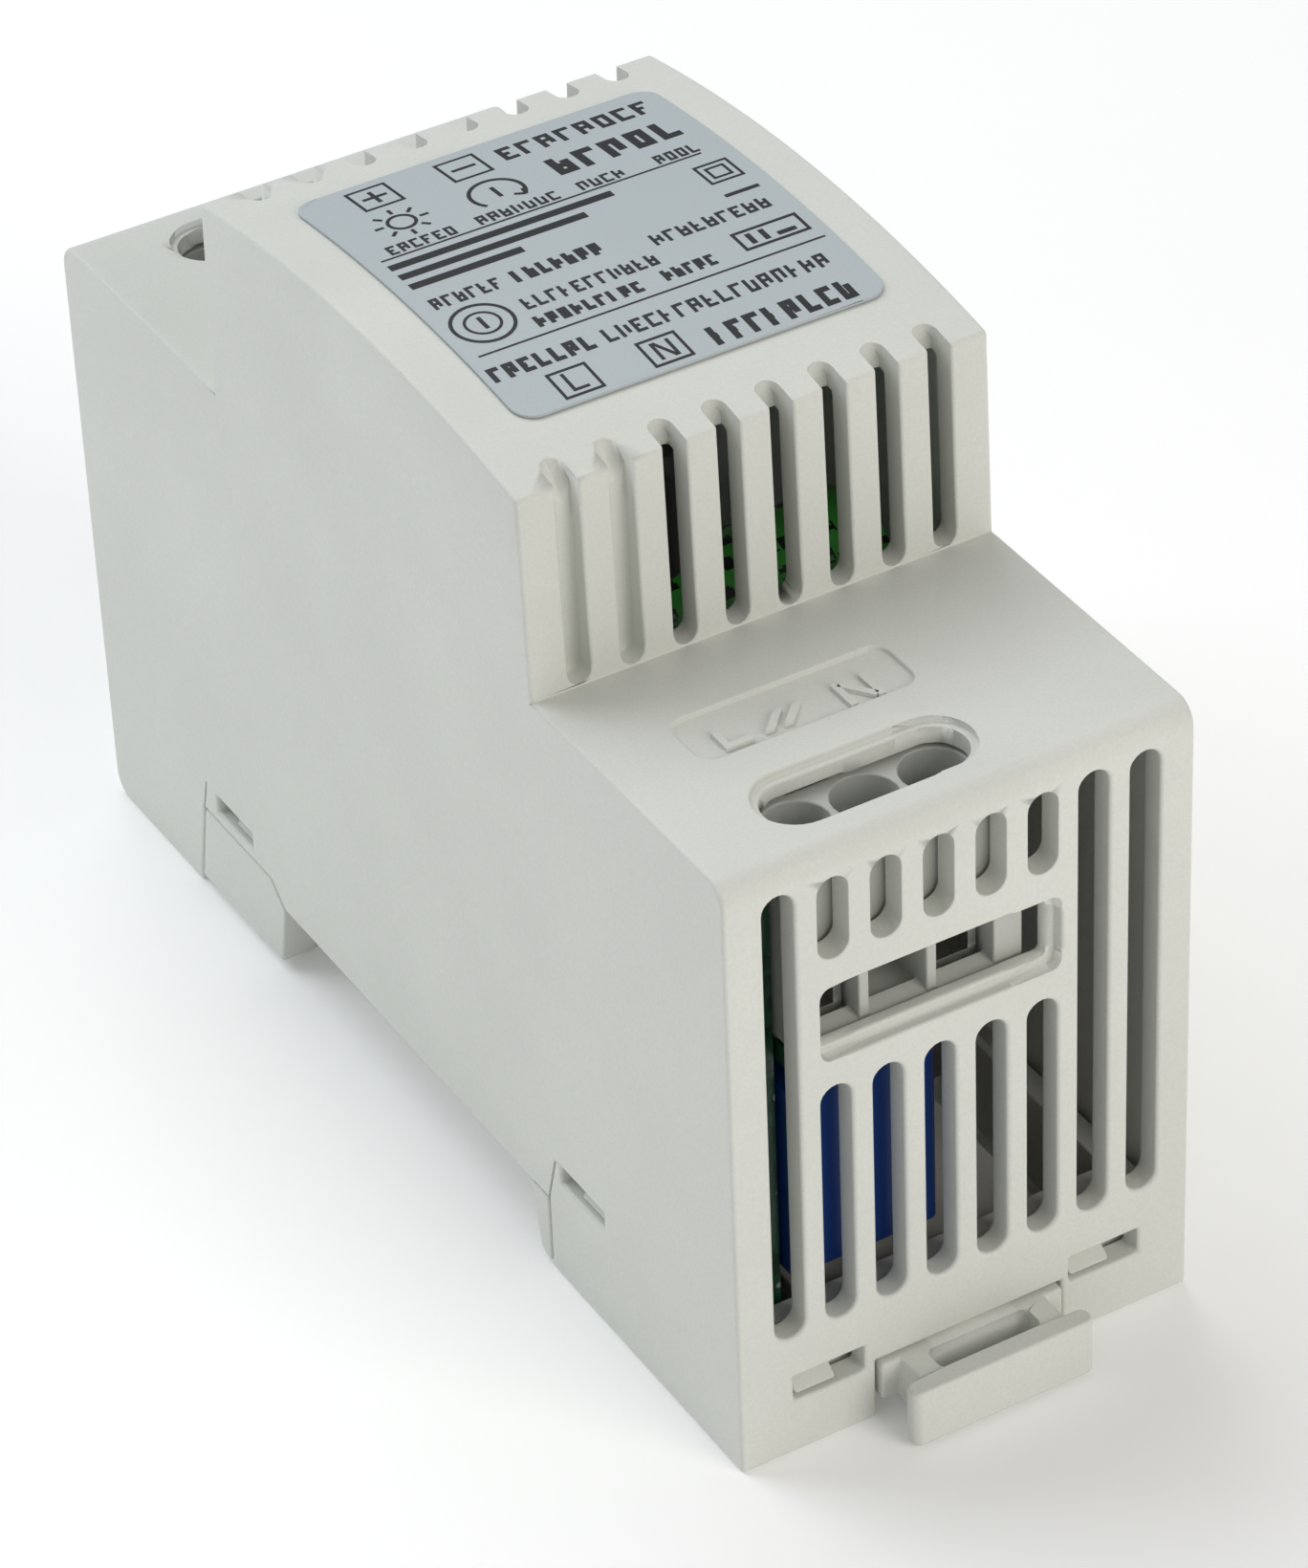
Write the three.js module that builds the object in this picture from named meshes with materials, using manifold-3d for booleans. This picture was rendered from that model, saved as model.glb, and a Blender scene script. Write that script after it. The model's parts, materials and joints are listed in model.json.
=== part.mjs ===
// A two-module power supply that clips onto a 35 mm top-hat rail, lying on its back.
// X runs across the modules, Y from the output end to the input end (input at -Y), Z up from the rail side.
// All sizes are in millimetres.
import * as THREE from 'three';
import { mergeVertices } from 'three/addons/utils/BufferGeometryUtils.js';
import Module from 'manifold-3d';

const wasm = await Module();
wasm.setup();

// ---- driving dimensions ----

// housing
const housingWidth = 35;
const housingLength = 90;
const shoulderHeight = 48.2;
const archEdgeHeight = 63.4;
const archRise = 1.9;
const raisedFootLength = 43.4;
const raisedTopLength = 42.4;
const wall = 2;
const roof = 1.8;
const endEdgeRadius = 1.8;
const looseGap = 0.3;

// rail and its seat
const railWidth = 35;
const railThickness = 1;
const railPlay = 0.15;
const seatHeight = 5.85;
const channelFlare = 1;
const hookReach = 1.2;

// end wall slots
const slotCount = 8;
const slotPitch = 3.9;
const slotWidth = 2.3;
const slotShift = 0.15;
const slotLow = 9.9;
const slotHigh = 46;
const lowerSlotTop = 29.3;
const upperSlotFoot = 39.6;
const tallSlots = [0, 6, 7];

// vent slots of the raised middle
const ventPitch = 3.95;
const ventWidth = 1.7;
const ventFootRise = 0.1;
const ventScoop = 2.6;
const blindVents = 2;
const blindDepth = 1.2;

// terminals
const polePitch = 5.08;
const poleCount = 3;
const firstPoleInset = 2.72;
const poleInset = 5.8;
const wellDiameter = 4.6;
const poleCavity = 4.3;
const blockDepth = 10.2;
const blockFloor = 31;
const blockRightWall = 1.8;
const screwHeadDiameter = 3.8;
const screwHeadHeight = 1.8;
const screwDiameter = 2.2;
const cageWidth = 3.6;
const cageDepth = 3.8;
const cageTravel = 2.5;
const cageSheet = 0.6;
const cageNutHeight = 1;
const wireGap = 3.5;
const wireFloor = 32.3;
const pinWidth = 2;
const pinSheet = 0.6;

// openings around the terminals
const wireWindowHeight = 5.9;
const wireWindowFoot = 31.5;
const wireWindowRight = 3.3;
const windowLedge = 0.7;
const ledgeDepth = 0.9;
const driverSlotWidth = 4.7;
const driverRim = 0.5;
const markPanel = { length: 16.1, width: 4.9, depth: 0.35, radius: 1.2 };

// boards
const boardThickness = 1.6;
const boardInset = 2.3;

// rail latch
const latchX = 0.2;
const latchWidth = 14.2;
const latchThickness = 3.05;
const latchTop = 4.65;
const pullBar = { thickness: 1.5, foot: 0.3, top: 4.9 };
const pullReach = 4.4;
const neckWidth = 11.4;
const driverPocket = { width: 7.9, depth: 2.1 };
const springDiameter = 3;
const springWire = 0.45;
const springLength = 11.6;
const springTurns = 7;

// label
const label = { width: 27.6, length: 31, radius: 1.6, sheet: 0.2, shiftX: 0.3, shiftY: 0.3 };

// trimmer and lamp behind the output terminals
const trimmerHole = 4;
const lampHole = 3.4;
const controlsInset = 19.5;

// ---- places that follow from the sizes ----

const halfWidth = housingWidth / 2;
const halfLength = housingLength / 2;
const innerX = halfWidth - wall;
const innerY = halfLength - wall;
const innerShoulder = shoulderHeight - roof;
const raisedFoot = raisedFootLength / 2;
const raisedTop = raisedTopLength / 2;
const archTop = archEdgeHeight + archRise;
const archRadius = (raisedTop * raisedTop + archRise * archRise) / (2 * archRise);
const archCentreZ = archTop - archRadius;
const seatHalf = railWidth / 2 + railPlay;
const boardLeft = -innerX + boardInset;
const boardFace = boardLeft + boardThickness;
const partsFoot = boardFace + looseGap;
const poleX = [...Array(poleCount).keys()].map((i) => partsFoot + firstPoleInset + i * polePitch);
const middlePoleX = poleX[1];
const poleY = halfLength - poleInset;
const blockLeft = partsFoot;
const blockRight = poleX[poleCount - 1] + polePitch / 2 + blockRightWall;
const blockTop = innerShoulder - looseGap;
const blockFront = innerY - looseGap;
const baseHalf = innerX - looseGap;
const baseEnd = innerY - looseGap;

// ---- helpers ----

function solid(geometry) {
  const bare = geometry.clone();
  bare.deleteAttribute('normal');
  bare.deleteAttribute('uv');
  const merged = mergeVertices(bare, 1e-5);
  const vertProperties = new Float32Array(merged.attributes.position.array);
  const triVerts = new Uint32Array(merged.index.array);
  return new wasm.Manifold(new wasm.Mesh({ numProp: 3, vertProperties, triVerts }));
}

function toGeometry(manifold) {
  const mesh = manifold.getMesh();
  const geometry = new THREE.BufferGeometry();
  geometry.setAttribute('position', new THREE.BufferAttribute(new Float32Array(mesh.vertProperties), 3));
  geometry.setIndex(new THREE.BufferAttribute(new Uint32Array(mesh.triVerts), 1));
  geometry.computeVertexNormals();
  return geometry;
}

function cut(body, ...tools) {
  return tools.reduce((rest, tool) => rest.subtract(tool), body);
}

function join(first, ...others) {
  return others.reduce((whole, piece) => whole.add(piece), first);
}

// An outline drawn in two world axes, carried along the third from low to high.
// Outlines along x are drawn in (y, z), along y in (x, z) and along z in (x, y).
function prism(shape, axis, low, high, curveSegments = 5) {
  const depth = high - low;
  const geometry = new THREE.ExtrudeGeometry(shape, { depth, bevelEnabled: false, curveSegments });
  const x = new THREE.Vector3(1, 0, 0);
  const y = new THREE.Vector3(0, 1, 0);
  const z = new THREE.Vector3(0, 0, 1);
  const turn = new THREE.Matrix4();
  if (axis === 'x') turn.makeBasis(y, z, x).setPosition(low, 0, 0);
  if (axis === 'y') turn.makeBasis(x, z, y.clone().negate()).setPosition(0, high, 0);
  if (axis === 'z') turn.makeBasis(x, y, z).setPosition(0, 0, low);
  return solid(geometry.applyMatrix4(turn));
}

function outline(points) {
  return new THREE.Shape(points.map(([a, b]) => new THREE.Vector2(a, b)));
}

function box(x, y, z) {
  return prism(outline([[x[0], y[0]], [x[1], y[0]], [x[1], y[1]], [x[0], y[1]]]), 'z', z[0], z[1]);
}

function roundedRectangle([a0, a1], [b0, b1], radius) {
  const shape = new THREE.Shape();
  shape.moveTo(a0 + radius, b0);
  shape.lineTo(a1 - radius, b0);
  shape.absarc(a1 - radius, b0 + radius, radius, -Math.PI / 2, 0);
  shape.lineTo(a1, b1 - radius);
  shape.absarc(a1 - radius, b1 - radius, radius, 0, Math.PI / 2);
  shape.lineTo(a0 + radius, b1);
  shape.absarc(a0 + radius, b1 - radius, radius, Math.PI / 2, Math.PI);
  shape.lineTo(a0, b0 + radius);
  shape.absarc(a0 + radius, b0 + radius, radius, Math.PI, 1.5 * Math.PI);
  return shape;
}

// A straight slot with two round ends, standing along the second axis.
function standingSlot(centre, width, low, high) {
  const radius = width / 2;
  const shape = new THREE.Shape();
  shape.moveTo(centre + radius, low + radius);
  shape.lineTo(centre + radius, high - radius);
  shape.absarc(centre, high - radius, radius, 0, Math.PI);
  shape.lineTo(centre - radius, low + radius);
  shape.absarc(centre, low + radius, radius, Math.PI, 2 * Math.PI);
  return shape;
}

function rod(radius, axis, low, high, at, segments = 12) {
  const shape = new THREE.Shape();
  shape.absarc(at[0], at[1], radius, 0, 2 * Math.PI);
  return prism(shape, axis, low, high, segments);
}

// A ring or pin turned about a line along z through (x, y): points are [radius, z] from bottom to top.
function turned(points, x, y, segments = 24) {
  const profile = points.map(([r, z]) => new THREE.Vector2(r, z));
  const geometry = new THREE.LatheGeometry(profile, segments).rotateX(Math.PI / 2).translate(x, y, 0);
  return solid(geometry);
}

// A body turned about a line along x through (y, z): points are [radius, x].
function turnedAcross(points, y, z, segments = 24) {
  const profile = points.map(([r, x]) => new THREE.Vector2(r, x));
  const geometry = new THREE.LatheGeometry(profile, segments).rotateZ(-Math.PI / 2).translate(0, y, z);
  return solid(geometry);
}

function mirroredEnd(manifold) {
  return manifold.mirror([0, 1, 0]);
}

const group = new THREE.Group();
const object = new THREE.Group();
object.position.y = pullReach / 2;
group.add(object);

function add(name, manifold, color, roughness, metalness = 0) {
  const material = new THREE.MeshStandardMaterial({ color, roughness, metalness });
  const mesh = new THREE.Mesh(toGeometry(manifold), material);
  mesh.name = name;
  object.add(mesh);
}

const colours = {
  housing: 0xd6d8cf,
  labelSheet: 0xb9c3c9,
  boardGreen: 0x0f3f2a,
  block: 0xb9bdb6,
  plated: 0xc9c9c4,
  tinned: 0xb8b8b4,
  black: 0x1b1b1c,
  ferrite: 0x2c2c2e,
  copper: 0xb5653a,
  filmBlue: 0x1f4f9c,
  discBlue: 0x2a5fae,
  sleeveGreen: 0x1fa83a,
  sleeveBlack: 0x1d1f26,
  aluminium: 0xa7aaab,
  tape: 0xd8c24a,
  lampGreen: 0x6fc46a,
  trimmerBlue: 0x2d5f9e,
};

// ---- cover ----

// Height of the arched top, less a depth, at a place along y.
function archAt(y, depth = 0) {
  const radius = archRadius - depth;
  return archCentreZ + Math.sqrt(radius * radius - y * y);
}

function archPoints(halfSpan, depth, steps) {
  const points = [];
  for (let i = 0; i <= steps; i += 1) {
    const y = -halfSpan + (2 * halfSpan * i) / steps;
    points.push([y, archAt(y, depth)]);
  }
  return points;
}

function outerProfile() {
  const shape = new THREE.Shape();
  const r = endEdgeRadius;
  shape.moveTo(halfLength, r);
  shape.lineTo(halfLength, shoulderHeight - r);
  shape.absarc(halfLength - r, shoulderHeight - r, r, 0, Math.PI / 2);
  shape.lineTo(raisedFoot, shoulderHeight);
  for (const [y, z] of archPoints(raisedTop, 0, 20).reverse()) shape.lineTo(y, z);
  shape.lineTo(-raisedFoot, shoulderHeight);
  shape.lineTo(-halfLength + r, shoulderHeight);
  shape.absarc(-halfLength + r, shoulderHeight - r, r, Math.PI / 2, Math.PI);
  shape.lineTo(-halfLength, 0);
  shape.lineTo(halfLength - r, 0);
  shape.absarc(halfLength - r, r, r, -Math.PI / 2, 0);
  return shape;
}

function innerProfile() {
  const shape = new THREE.Shape();
  const foot = raisedFoot - wall;
  const top = raisedTop - wall;
  shape.moveTo(innerY, -1);
  shape.lineTo(innerY, innerShoulder);
  shape.lineTo(foot, innerShoulder);
  for (const [y, z] of archPoints(top, wall, 12).reverse()) shape.lineTo(y, z);
  shape.lineTo(-foot, innerShoulder);
  shape.lineTo(-innerY, innerShoulder);
  shape.lineTo(-innerY, -1);
  return shape;
}

// The side tabs of the base, drawn in (y, z): a short one beside the latch and a long one beside the hook.
const tabEdges = {
  nearFoot: -seatHalf - 2.4,
  farFoot: seatHalf + 13.4,
  farTopEnd: seatHalf + 12,
  farTopStart: seatHalf + 1.9,
  farTop: seatHeight + 1.75,
};

function sideCutProfile() {
  const t = tabEdges;
  const g = railPlay;
  return outline([
    [t.nearFoot - g, -1],
    [t.nearFoot - g, seatHeight + g],
    [seatHalf - g / 2, seatHeight + g],
    [t.farTopStart - g / 2, t.farTop + g],
    [t.farTopEnd + g, t.farTop + g],
    [t.farFoot + g, baseFloor.farFoot],
    [t.farFoot + g, -1],
  ]);
}

// Narrow relief slits run up from the corners of the tabs through the side walls.
function reliefSlits() {
  const t = tabEdges;
  const width = 0.2;
  const near = [[t.nearFoot - railPlay, seatHeight], [t.nearFoot - railPlay - 1.2, seatHeight + 4.1]];
  const far = [[t.farTopEnd, t.farTop], [t.farTopEnd - 0.7, t.farTop + 2.7]];
  return [near, far].map(([[y0, z0], [y1, z1]]) => {
    const shape = outline([[y0, z0], [y0 + width, z0], [y1 + width, z1], [y1, z1]]);
    return prism(shape, 'x', -halfWidth - 1, halfWidth + 1);
  });
}

function endSlots() {
  const low = innerY - 1;
  const high = halfLength + 1;
  const tools = [];
  for (let i = 0; i < slotCount; i += 1) {
    const x = slotShift + (i - (slotCount - 1) / 2) * slotPitch;
    if (tallSlots.includes(i)) {
      tools.push(prism(standingSlot(x, slotWidth, slotLow, slotHigh), 'y', low, high));
    } else {
      tools.push(prism(standingSlot(x, slotWidth, slotLow, lowerSlotTop), 'y', low, high));
      tools.push(prism(standingSlot(x, slotWidth, upperSlotFoot, slotHigh), 'y', low, high));
    }
  }
  return tools;
}

const wireWindow = {
  x: [blockLeft + 0.6, blockRight + wireWindowRight - blockRightWall],
  z: [wireWindowFoot, wireWindowFoot + wireWindowHeight],
};

function wireWindowTools() {
  const { x, z } = wireWindow;
  const outer = roundedRectangle(x, z, 0.8);
  const hole = roundedRectangle([x[0], x[1] - windowLedge], [z[0] + windowLedge, z[1] - windowLedge], 0.4);
  return [
    prism(outer, 'y', halfLength - ledgeDepth, halfLength + 1, 3),
    prism(hole, 'y', innerY - 1, halfLength + 1, 3),
  ];
}

const driverSlot = {
  x: [poleX[0] - driverSlotWidth / 2, poleX[poleCount - 1] + driverSlotWidth / 2],
  y: [poleY - driverSlotWidth / 2, poleY + driverSlotWidth / 2],
};

function driverSlotTools() {
  const grow = (pair, by) => [pair[0] - by, pair[1] + by];
  const hole = roundedRectangle(driverSlot.x, driverSlot.y, driverSlotWidth / 2 - 0.01);
  const rimRadius = driverSlotWidth / 2 + driverRim - 0.01;
  const rim = roundedRectangle(grow(driverSlot.x, driverRim), grow(driverSlot.y, driverRim), rimRadius);
  return [
    prism(hole, 'z', innerShoulder - 1, shoulderHeight + 1, 4),
    prism(rim, 'z', shoulderHeight - driverRim, shoulderHeight + 1, 4),
  ];
}

function markPanelTool() {
  const { length, width, depth, radius } = markPanel;
  const y = (raisedFoot + driverSlot.y[0]) / 2 + 1.4;
  const x = [middlePoleX - length / 2, middlePoleX + length / 2];
  const shape = roundedRectangle(x, [y - width / 2, y + width / 2], radius);
  return prism(shape, 'z', shoulderHeight - depth, shoulderHeight + 1, 3);
}

const endSnaps = { x: [[-13.4, -7.9], [8.1, 13.6]], z: [4.4, 6.5] };
const sideSnaps = { near: [-27.7, -22], far: [22.1, 27.5], z: [8.6, 10.1] };

function snapWindowTools() {
  const tools = [];
  for (const x of endSnaps.x) {
    tools.push(box(x, [innerY - 1, halfLength + 1], endSnaps.z));
    tools.push(box(x, [-halfLength - 1, 1 - innerY], endSnaps.z));
  }
  for (const y of [sideSnaps.near, sideSnaps.far]) {
    tools.push(box([innerX - 1, halfWidth + 1], y, sideSnaps.z));
    tools.push(box([-halfWidth - 1, 1 - innerX], y, sideSnaps.z));
  }
  return tools;
}

// One vent slot: a standing slot through the wall, opening upwards into a scoop with a round back.
function ventTool(x, blind) {
  const back = blind ? raisedTop - blindDepth : raisedTop - wall - 0.4;
  const low = shoulderHeight + ventFootRise;
  const slot = prism(standingSlot(x, ventWidth, low, archEdgeHeight), 'y', back, raisedFoot + 1, 4);
  const scoopBack = raisedTop - ventScoop;
  const rise = wall + 0.4;
  const lean = Math.atan2(back - scoopBack, rise);
  const down = new THREE.Vector3(0, Math.sin(lean), -Math.cos(lean));
  const out = new THREE.Vector3(0, Math.cos(lean), Math.sin(lean));
  const across = new THREE.Vector3(1, 0, 0);
  const section = standingSlot(0, ventWidth, 0, ventScoop * 3);
  const length = 3 * rise;
  const shape = { depth: length, bevelEnabled: false, curveSegments: 4 };
  const geometry = new THREE.ExtrudeGeometry(section, shape);
  const turn = new THREE.Matrix4().makeBasis(across.clone().negate(), out, down);
  const start = down.clone().multiplyScalar(-rise);
  turn.setPosition(x, scoopBack + start.y, archEdgeHeight + 0.4 + start.z);
  const scoop = solid(geometry.applyMatrix4(turn));
  const reachX = [x - ventWidth, x + ventWidth];
  const reachZ = [archEdgeHeight - rise, archTop + 3];
  const above = box(reachX, [back, raisedFoot + 2], reachZ);
  const behind = box(reachX, [scoopBack - 1, raisedFoot + 2], reachZ);
  return join(slot, scoop.intersect(blind ? join(above, behind) : behind));
}

function ventTools() {
  const tools = [];
  for (let i = 0; i < slotCount; i += 1) {
    const x = (i - (slotCount - 1) / 2) * ventPitch;
    tools.push(ventTool(x, i < blindVents));
  }
  return tools;
}

const latchCut = { x: [latchX - latchWidth / 2 - 0.2, latchX + latchWidth / 2 + 0.2], top: latchTop + 0.2 };

function controlTools() {
  const y = halfLength - controlsInset;
  return [
    rod(trimmerHole / 2, 'z', innerShoulder - 1, shoulderHeight + 1, [poleX[2], y]),
    rod(lampHole / 2, 'z', innerShoulder - 1, shoulderHeight + 1, [poleX[0], y]),
  ];
}

function cover() {
  const shell = cut(
    prism(outerProfile(), 'x', -halfWidth, halfWidth, 4),
    prism(innerProfile(), 'x', -innerX, innerX),
    prism(sideCutProfile(), 'x', -halfWidth - 1, halfWidth + 1),
    ...reliefSlits(),
  );
  const oneEnd = join(
    ...endSlots(),
    ...wireWindowTools(),
    ...driverSlotTools(),
    markPanelTool(),
    ...ventTools(),
  );
  const latchHole = box(latchCut.x, [-halfLength - 1, 1 - innerY], [-1, latchCut.top]);
  return cut(shell, oneEnd, mirroredEnd(oneEnd), ...snapWindowTools(), ...controlTools(), latchHole);
}

// ---- base ----

const baseFloor = { seat: 2, low: 1.5, nearFoot: 0.3, farFoot: 0.7 };
const baseRim = 9.4;
const baseWall = 1.8;
const crossWall = 2.2;
const channelTop = latchTop + looseGap;
const channelFoot = latchTop - latchThickness - looseGap;
const channelHalf = latchWidth / 2 + looseGap;
const lipReach = 1.8;
const latchRoof = 2;
const springPost = { low: -halfLength + 6.5, thickness: 1.5 };

function baseProfile() {
  const s = seatHalf;
  return outline([
    [-baseEnd, baseFloor.nearFoot],
    [-s - 1.3 - channelFlare, baseFloor.nearFoot],
    [-s - channelFlare, baseFloor.nearFoot + 0.5],
    [-s, seatHeight],
    [s, seatHeight],
    [s + channelFlare, baseFloor.farFoot],
    [baseEnd, baseFloor.farFoot],
    [baseEnd, baseRim],
    [-baseEnd, baseRim],
  ]);
}

function baseCavities() {
  const half = baseHalf - baseWall;
  const cross = seatHalf + channelFlare + crossWall;
  const end = baseEnd - baseWall;
  const up = baseRim + 1;
  const guide = channelHalf + baseWall;
  const nearFloor = baseFloor.nearFoot + baseFloor.low;
  const farFloor = baseFloor.farFoot + baseFloor.low;
  return [
    box([-half, half], [-cross, cross], [seatHeight + baseFloor.seat, up]),
    box([-half, half], [cross - 1, end], [farFloor, up]),
    box([-half, half], [-end, 1 - cross], [channelTop + latchRoof, up]),
    box([-half, latchX - guide], [-end, -cross], [nearFloor, up]),
    box([latchX + guide, half], [-end, -cross], [nearFloor, up]),
  ];
}

function latchChannel() {
  const channelX = [latchX - channelHalf, latchX + channelHalf];
  const slot = box(channelX, [-baseEnd - 1, -seatHalf + 2], [channelFoot, channelTop]);
  const half = channelHalf - lipReach;
  const opening = box([latchX - half, latchX + half], [-baseEnd - 1, -seatHalf + 2], [-1, channelTop]);
  const seatSide = box([-baseHalf - 1, baseHalf + 1], [-seatHalf, 3], [-1, seatHeight]);
  return [cut(slot, seatSide), cut(opening, seatSide)];
}

const hookHalfWidth = 11;

// The fixed hook hangs below the seat on the far side, its tip under the rail's edge.
function hook() {
  const s = seatHalf;
  const tip = s - hookReach;
  const top = seatHeight - railThickness - railPlay;
  const shape = outline([
    [s + channelFlare + 1, baseFloor.farFoot + 0.1],
    [s + channelFlare + 0.2, baseFloor.farFoot + 0.1],
    [tip, top - 1.1],
    [tip, top],
    [s + channelFlare + 1, top],
  ]);
  return prism(shape, 'x', -hookHalfWidth, hookHalfWidth);
}

function hookPocket() {
  const s = seatHalf;
  const top = seatHeight - 0.02;
  const shape = outline([
    [s - 2, -1],
    [s + channelFlare + 0.2, -1],
    [s + channelFlare + 0.2, top],
    [s - 2, top],
  ]);
  return prism(shape, 'x', -baseHalf + 0.4, baseHalf - 0.4);
}

function sideTabs() {
  const t = tabEdges;
  const s = seatHalf;
  const near = outline([
    [t.nearFoot, baseFloor.nearFoot],
    [-s - channelFlare - 0.6, baseFloor.nearFoot],
    [-s - channelFlare, baseFloor.nearFoot + 0.5],
    [-s, seatHeight],
    [t.nearFoot, seatHeight],
  ]);
  const far = outline([
    [s, seatHeight],
    [s + channelFlare, baseFloor.farFoot],
    [t.farFoot, baseFloor.farFoot],
    [t.farTopEnd, t.farTop],
    [t.farTopStart, t.farTop],
  ]);
  const spans = [[-halfWidth, -baseHalf + 1], [baseHalf - 1, halfWidth]];
  return spans.flatMap(([low, high]) => [prism(near, 'x', low, high), prism(far, 'x', low, high)]);
}

// Snap fins stand on the base's rim, each with a wedge that drops into a window of the cover.
function snapFins() {
  const pieces = [];
  const reach = wall - 0.4;
  const wedgeFoot = sideSnaps.z[0] + 0.15;
  const wedgeTop = sideSnaps.z[1] - 0.35;
  for (const [y0, y1] of [sideSnaps.near, sideSnaps.far]) {
    const wedge = outline([
      [baseHalf - 1, wedgeFoot],
      [baseHalf + looseGap + reach, wedgeFoot],
      [baseHalf - 1, wedgeTop + 1.2],
    ]);
    const fin = box([baseHalf - 1.2, baseHalf], [y0 - 0.6, y1 + 0.6], [seatHeight, wedgeTop + 1.2]);
    const right = join(fin, prism(wedge, 'y', y0 + 0.3, y1 - 2));
    pieces.push(right, right.mirror([1, 0, 0]));
  }
  const endFoot = endSnaps.z[0] + 0.15;
  const endWedge = outline([
    [baseEnd - 0.5, endFoot],
    [baseEnd + looseGap + reach, endFoot],
    [baseEnd - 0.5, endSnaps.z[1] - 0.1],
  ]);
  for (const [x0, x1] of endSnaps.x) {
    const far = prism(endWedge, 'x', x0 + 0.3, x1 - 2);
    pieces.push(far, mirroredEnd(far));
  }
  return pieces;
}

const ribPlaces = [-14, 0, 14];

// Two rows of short ribs grip the foot of the main board.
function boardRibs() {
  const ribs = [];
  const sides = [
    [boardLeft - looseGap - 1, boardLeft - looseGap],
    [boardFace + looseGap, boardFace + looseGap + 1],
  ];
  const floor = seatHeight + baseFloor.seat;
  for (const x of sides) {
    for (const y of ribPlaces) {
      ribs.push(box(x, [y - 1.2, y + 1.2], [floor - 0.5, floor + 2.4]));
    }
  }
  return ribs;
}

function latchSpringPost() {
  const { low, thickness } = springPost;
  const x = [latchX - springDiameter / 2, latchX + springDiameter / 2];
  return box(x, [low, low + thickness], [channelFoot + looseGap, channelTop + 0.5]);
}

function base() {
  const tray = cut(prism(baseProfile(), 'x', -baseHalf, baseHalf), ...baseCavities());
  const shaped = cut(join(tray, ...sideTabs()), ...latchChannel(), hookPocket());
  return join(shaped, hook(), ...snapFins(), ...boardRibs(), latchSpringPost());
}

// ---- rail latch ----

function railLatch() {
  const half = latchWidth / 2;
  const foot = latchTop - latchThickness;
  const tip = -seatHalf + hookReach + railPlay;
  const plateEnd = -halfLength - 0.4;
  const barBack = -halfLength - pullReach + pullBar.thickness;
  const side = outline([
    [plateEnd, foot],
    [-seatHalf - channelFlare - 0.4, foot],
    [tip, latchTop - 1.1],
    [tip, latchTop],
    [plateEnd, latchTop],
  ]);
  const plate = prism(side, 'x', latchX - half, latchX + half);
  const neckX = [latchX - neckWidth / 2, latchX + neckWidth / 2];
  const neck = box(neckX, [barBack - 0.2, plateEnd + 2], [foot - 0.7, latchTop]);
  const barX = [latchX - half, latchX + half];
  const barOutline = roundedRectangle(barX, [barBack - pullBar.thickness, barBack], 0.7);
  const bar = prism(barOutline, 'z', pullBar.foot, pullBar.top, 5);
  const pocketX = [latchX - driverPocket.width / 2, latchX + driverPocket.width / 2];
  const pocketY = [barBack + 0.1, barBack + 0.1 + driverPocket.depth];
  const pocket = prism(roundedRectangle(pocketX, pocketY, 0.6), 'z', -1, latchTop + 1, 4);
  const windowX = [latchX - springDiameter / 2 - looseGap, latchX + springDiameter / 2 + looseGap];
  const windowEnd = springPost.low + springPost.thickness + springLength + 2 * looseGap;
  const springWindow = box(windowX, [springPost.low - looseGap, windowEnd], [-1, latchTop + 1]);
  return cut(join(plate, neck, bar), pocket, springWindow);
}

// The spring pushes the latch's front wall away from the post of the base.
function latchSpring() {
  const start = springPost.low + springPost.thickness + looseGap;
  const radius = (springDiameter - springWire) / 2;
  const z = latchTop - latchThickness / 2;
  class Helix extends THREE.Curve {
    getPoint(t) {
      const angle = 2 * Math.PI * springTurns * t;
      const along = start + springWire / 2 + (springLength - springWire) * t;
      return new THREE.Vector3(latchX + radius * Math.cos(angle), along, z + radius * Math.sin(angle));
    }
  }
  const section = new THREE.Shape();
  section.absarc(0, 0, springWire / 2, 0, 2 * Math.PI);
  const steps = springTurns * 12;
  const options = { steps, bevelEnabled: false, extrudePath: new Helix(), curveSegments: 3 };
  return solid(new THREE.ExtrudeGeometry(section, options));
}

// ---- label ----

function ratingLabel() {
  const { width, length, radius, sheet, shiftX, shiftY } = label;
  const x = [shiftX - width / 2, shiftX + width / 2];
  const y = [shiftY - length / 2, shiftY + length / 2];
  const steps = 16;
  const lift = 0.06;
  const top = [];
  const bottom = [];
  for (let i = 0; i <= steps; i += 1) {
    const place = y[0] - 1 + ((length + 2) * i) / steps;
    top.push([place, archAt(place, -lift - sheet)]);
    bottom.push([place, archAt(place, -lift)]);
  }
  const strip = prism(outline([...bottom, ...top.reverse()]), 'x', x[0] - 1, x[1] + 1);
  return strip.intersect(prism(roundedRectangle(x, y, radius), 'z', archEdgeHeight - 5, archTop + 5, 5));
}

// ---- boards ----

const boardFoot = seatHeight + baseFloor.seat + looseGap;

function mainBoard() {
  const end = baseEnd - baseWall - looseGap;
  const step = raisedFoot - wall - 0.6;
  const top = archAt(step, wall) - 0.6;
  const low = innerShoulder - 0.5;
  const shape = outline([
    [-end, boardFoot],
    [end, boardFoot],
    [end, low],
    [step, low],
    [step, top],
    [-step, top],
    [-step, low],
    [-end, low],
  ]);
  return prism(shape, 'x', boardLeft, boardFace);
}

const shelf = { top: blockFloor - looseGap, inputDepth: 10, outputDepth: 20.5 };

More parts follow.
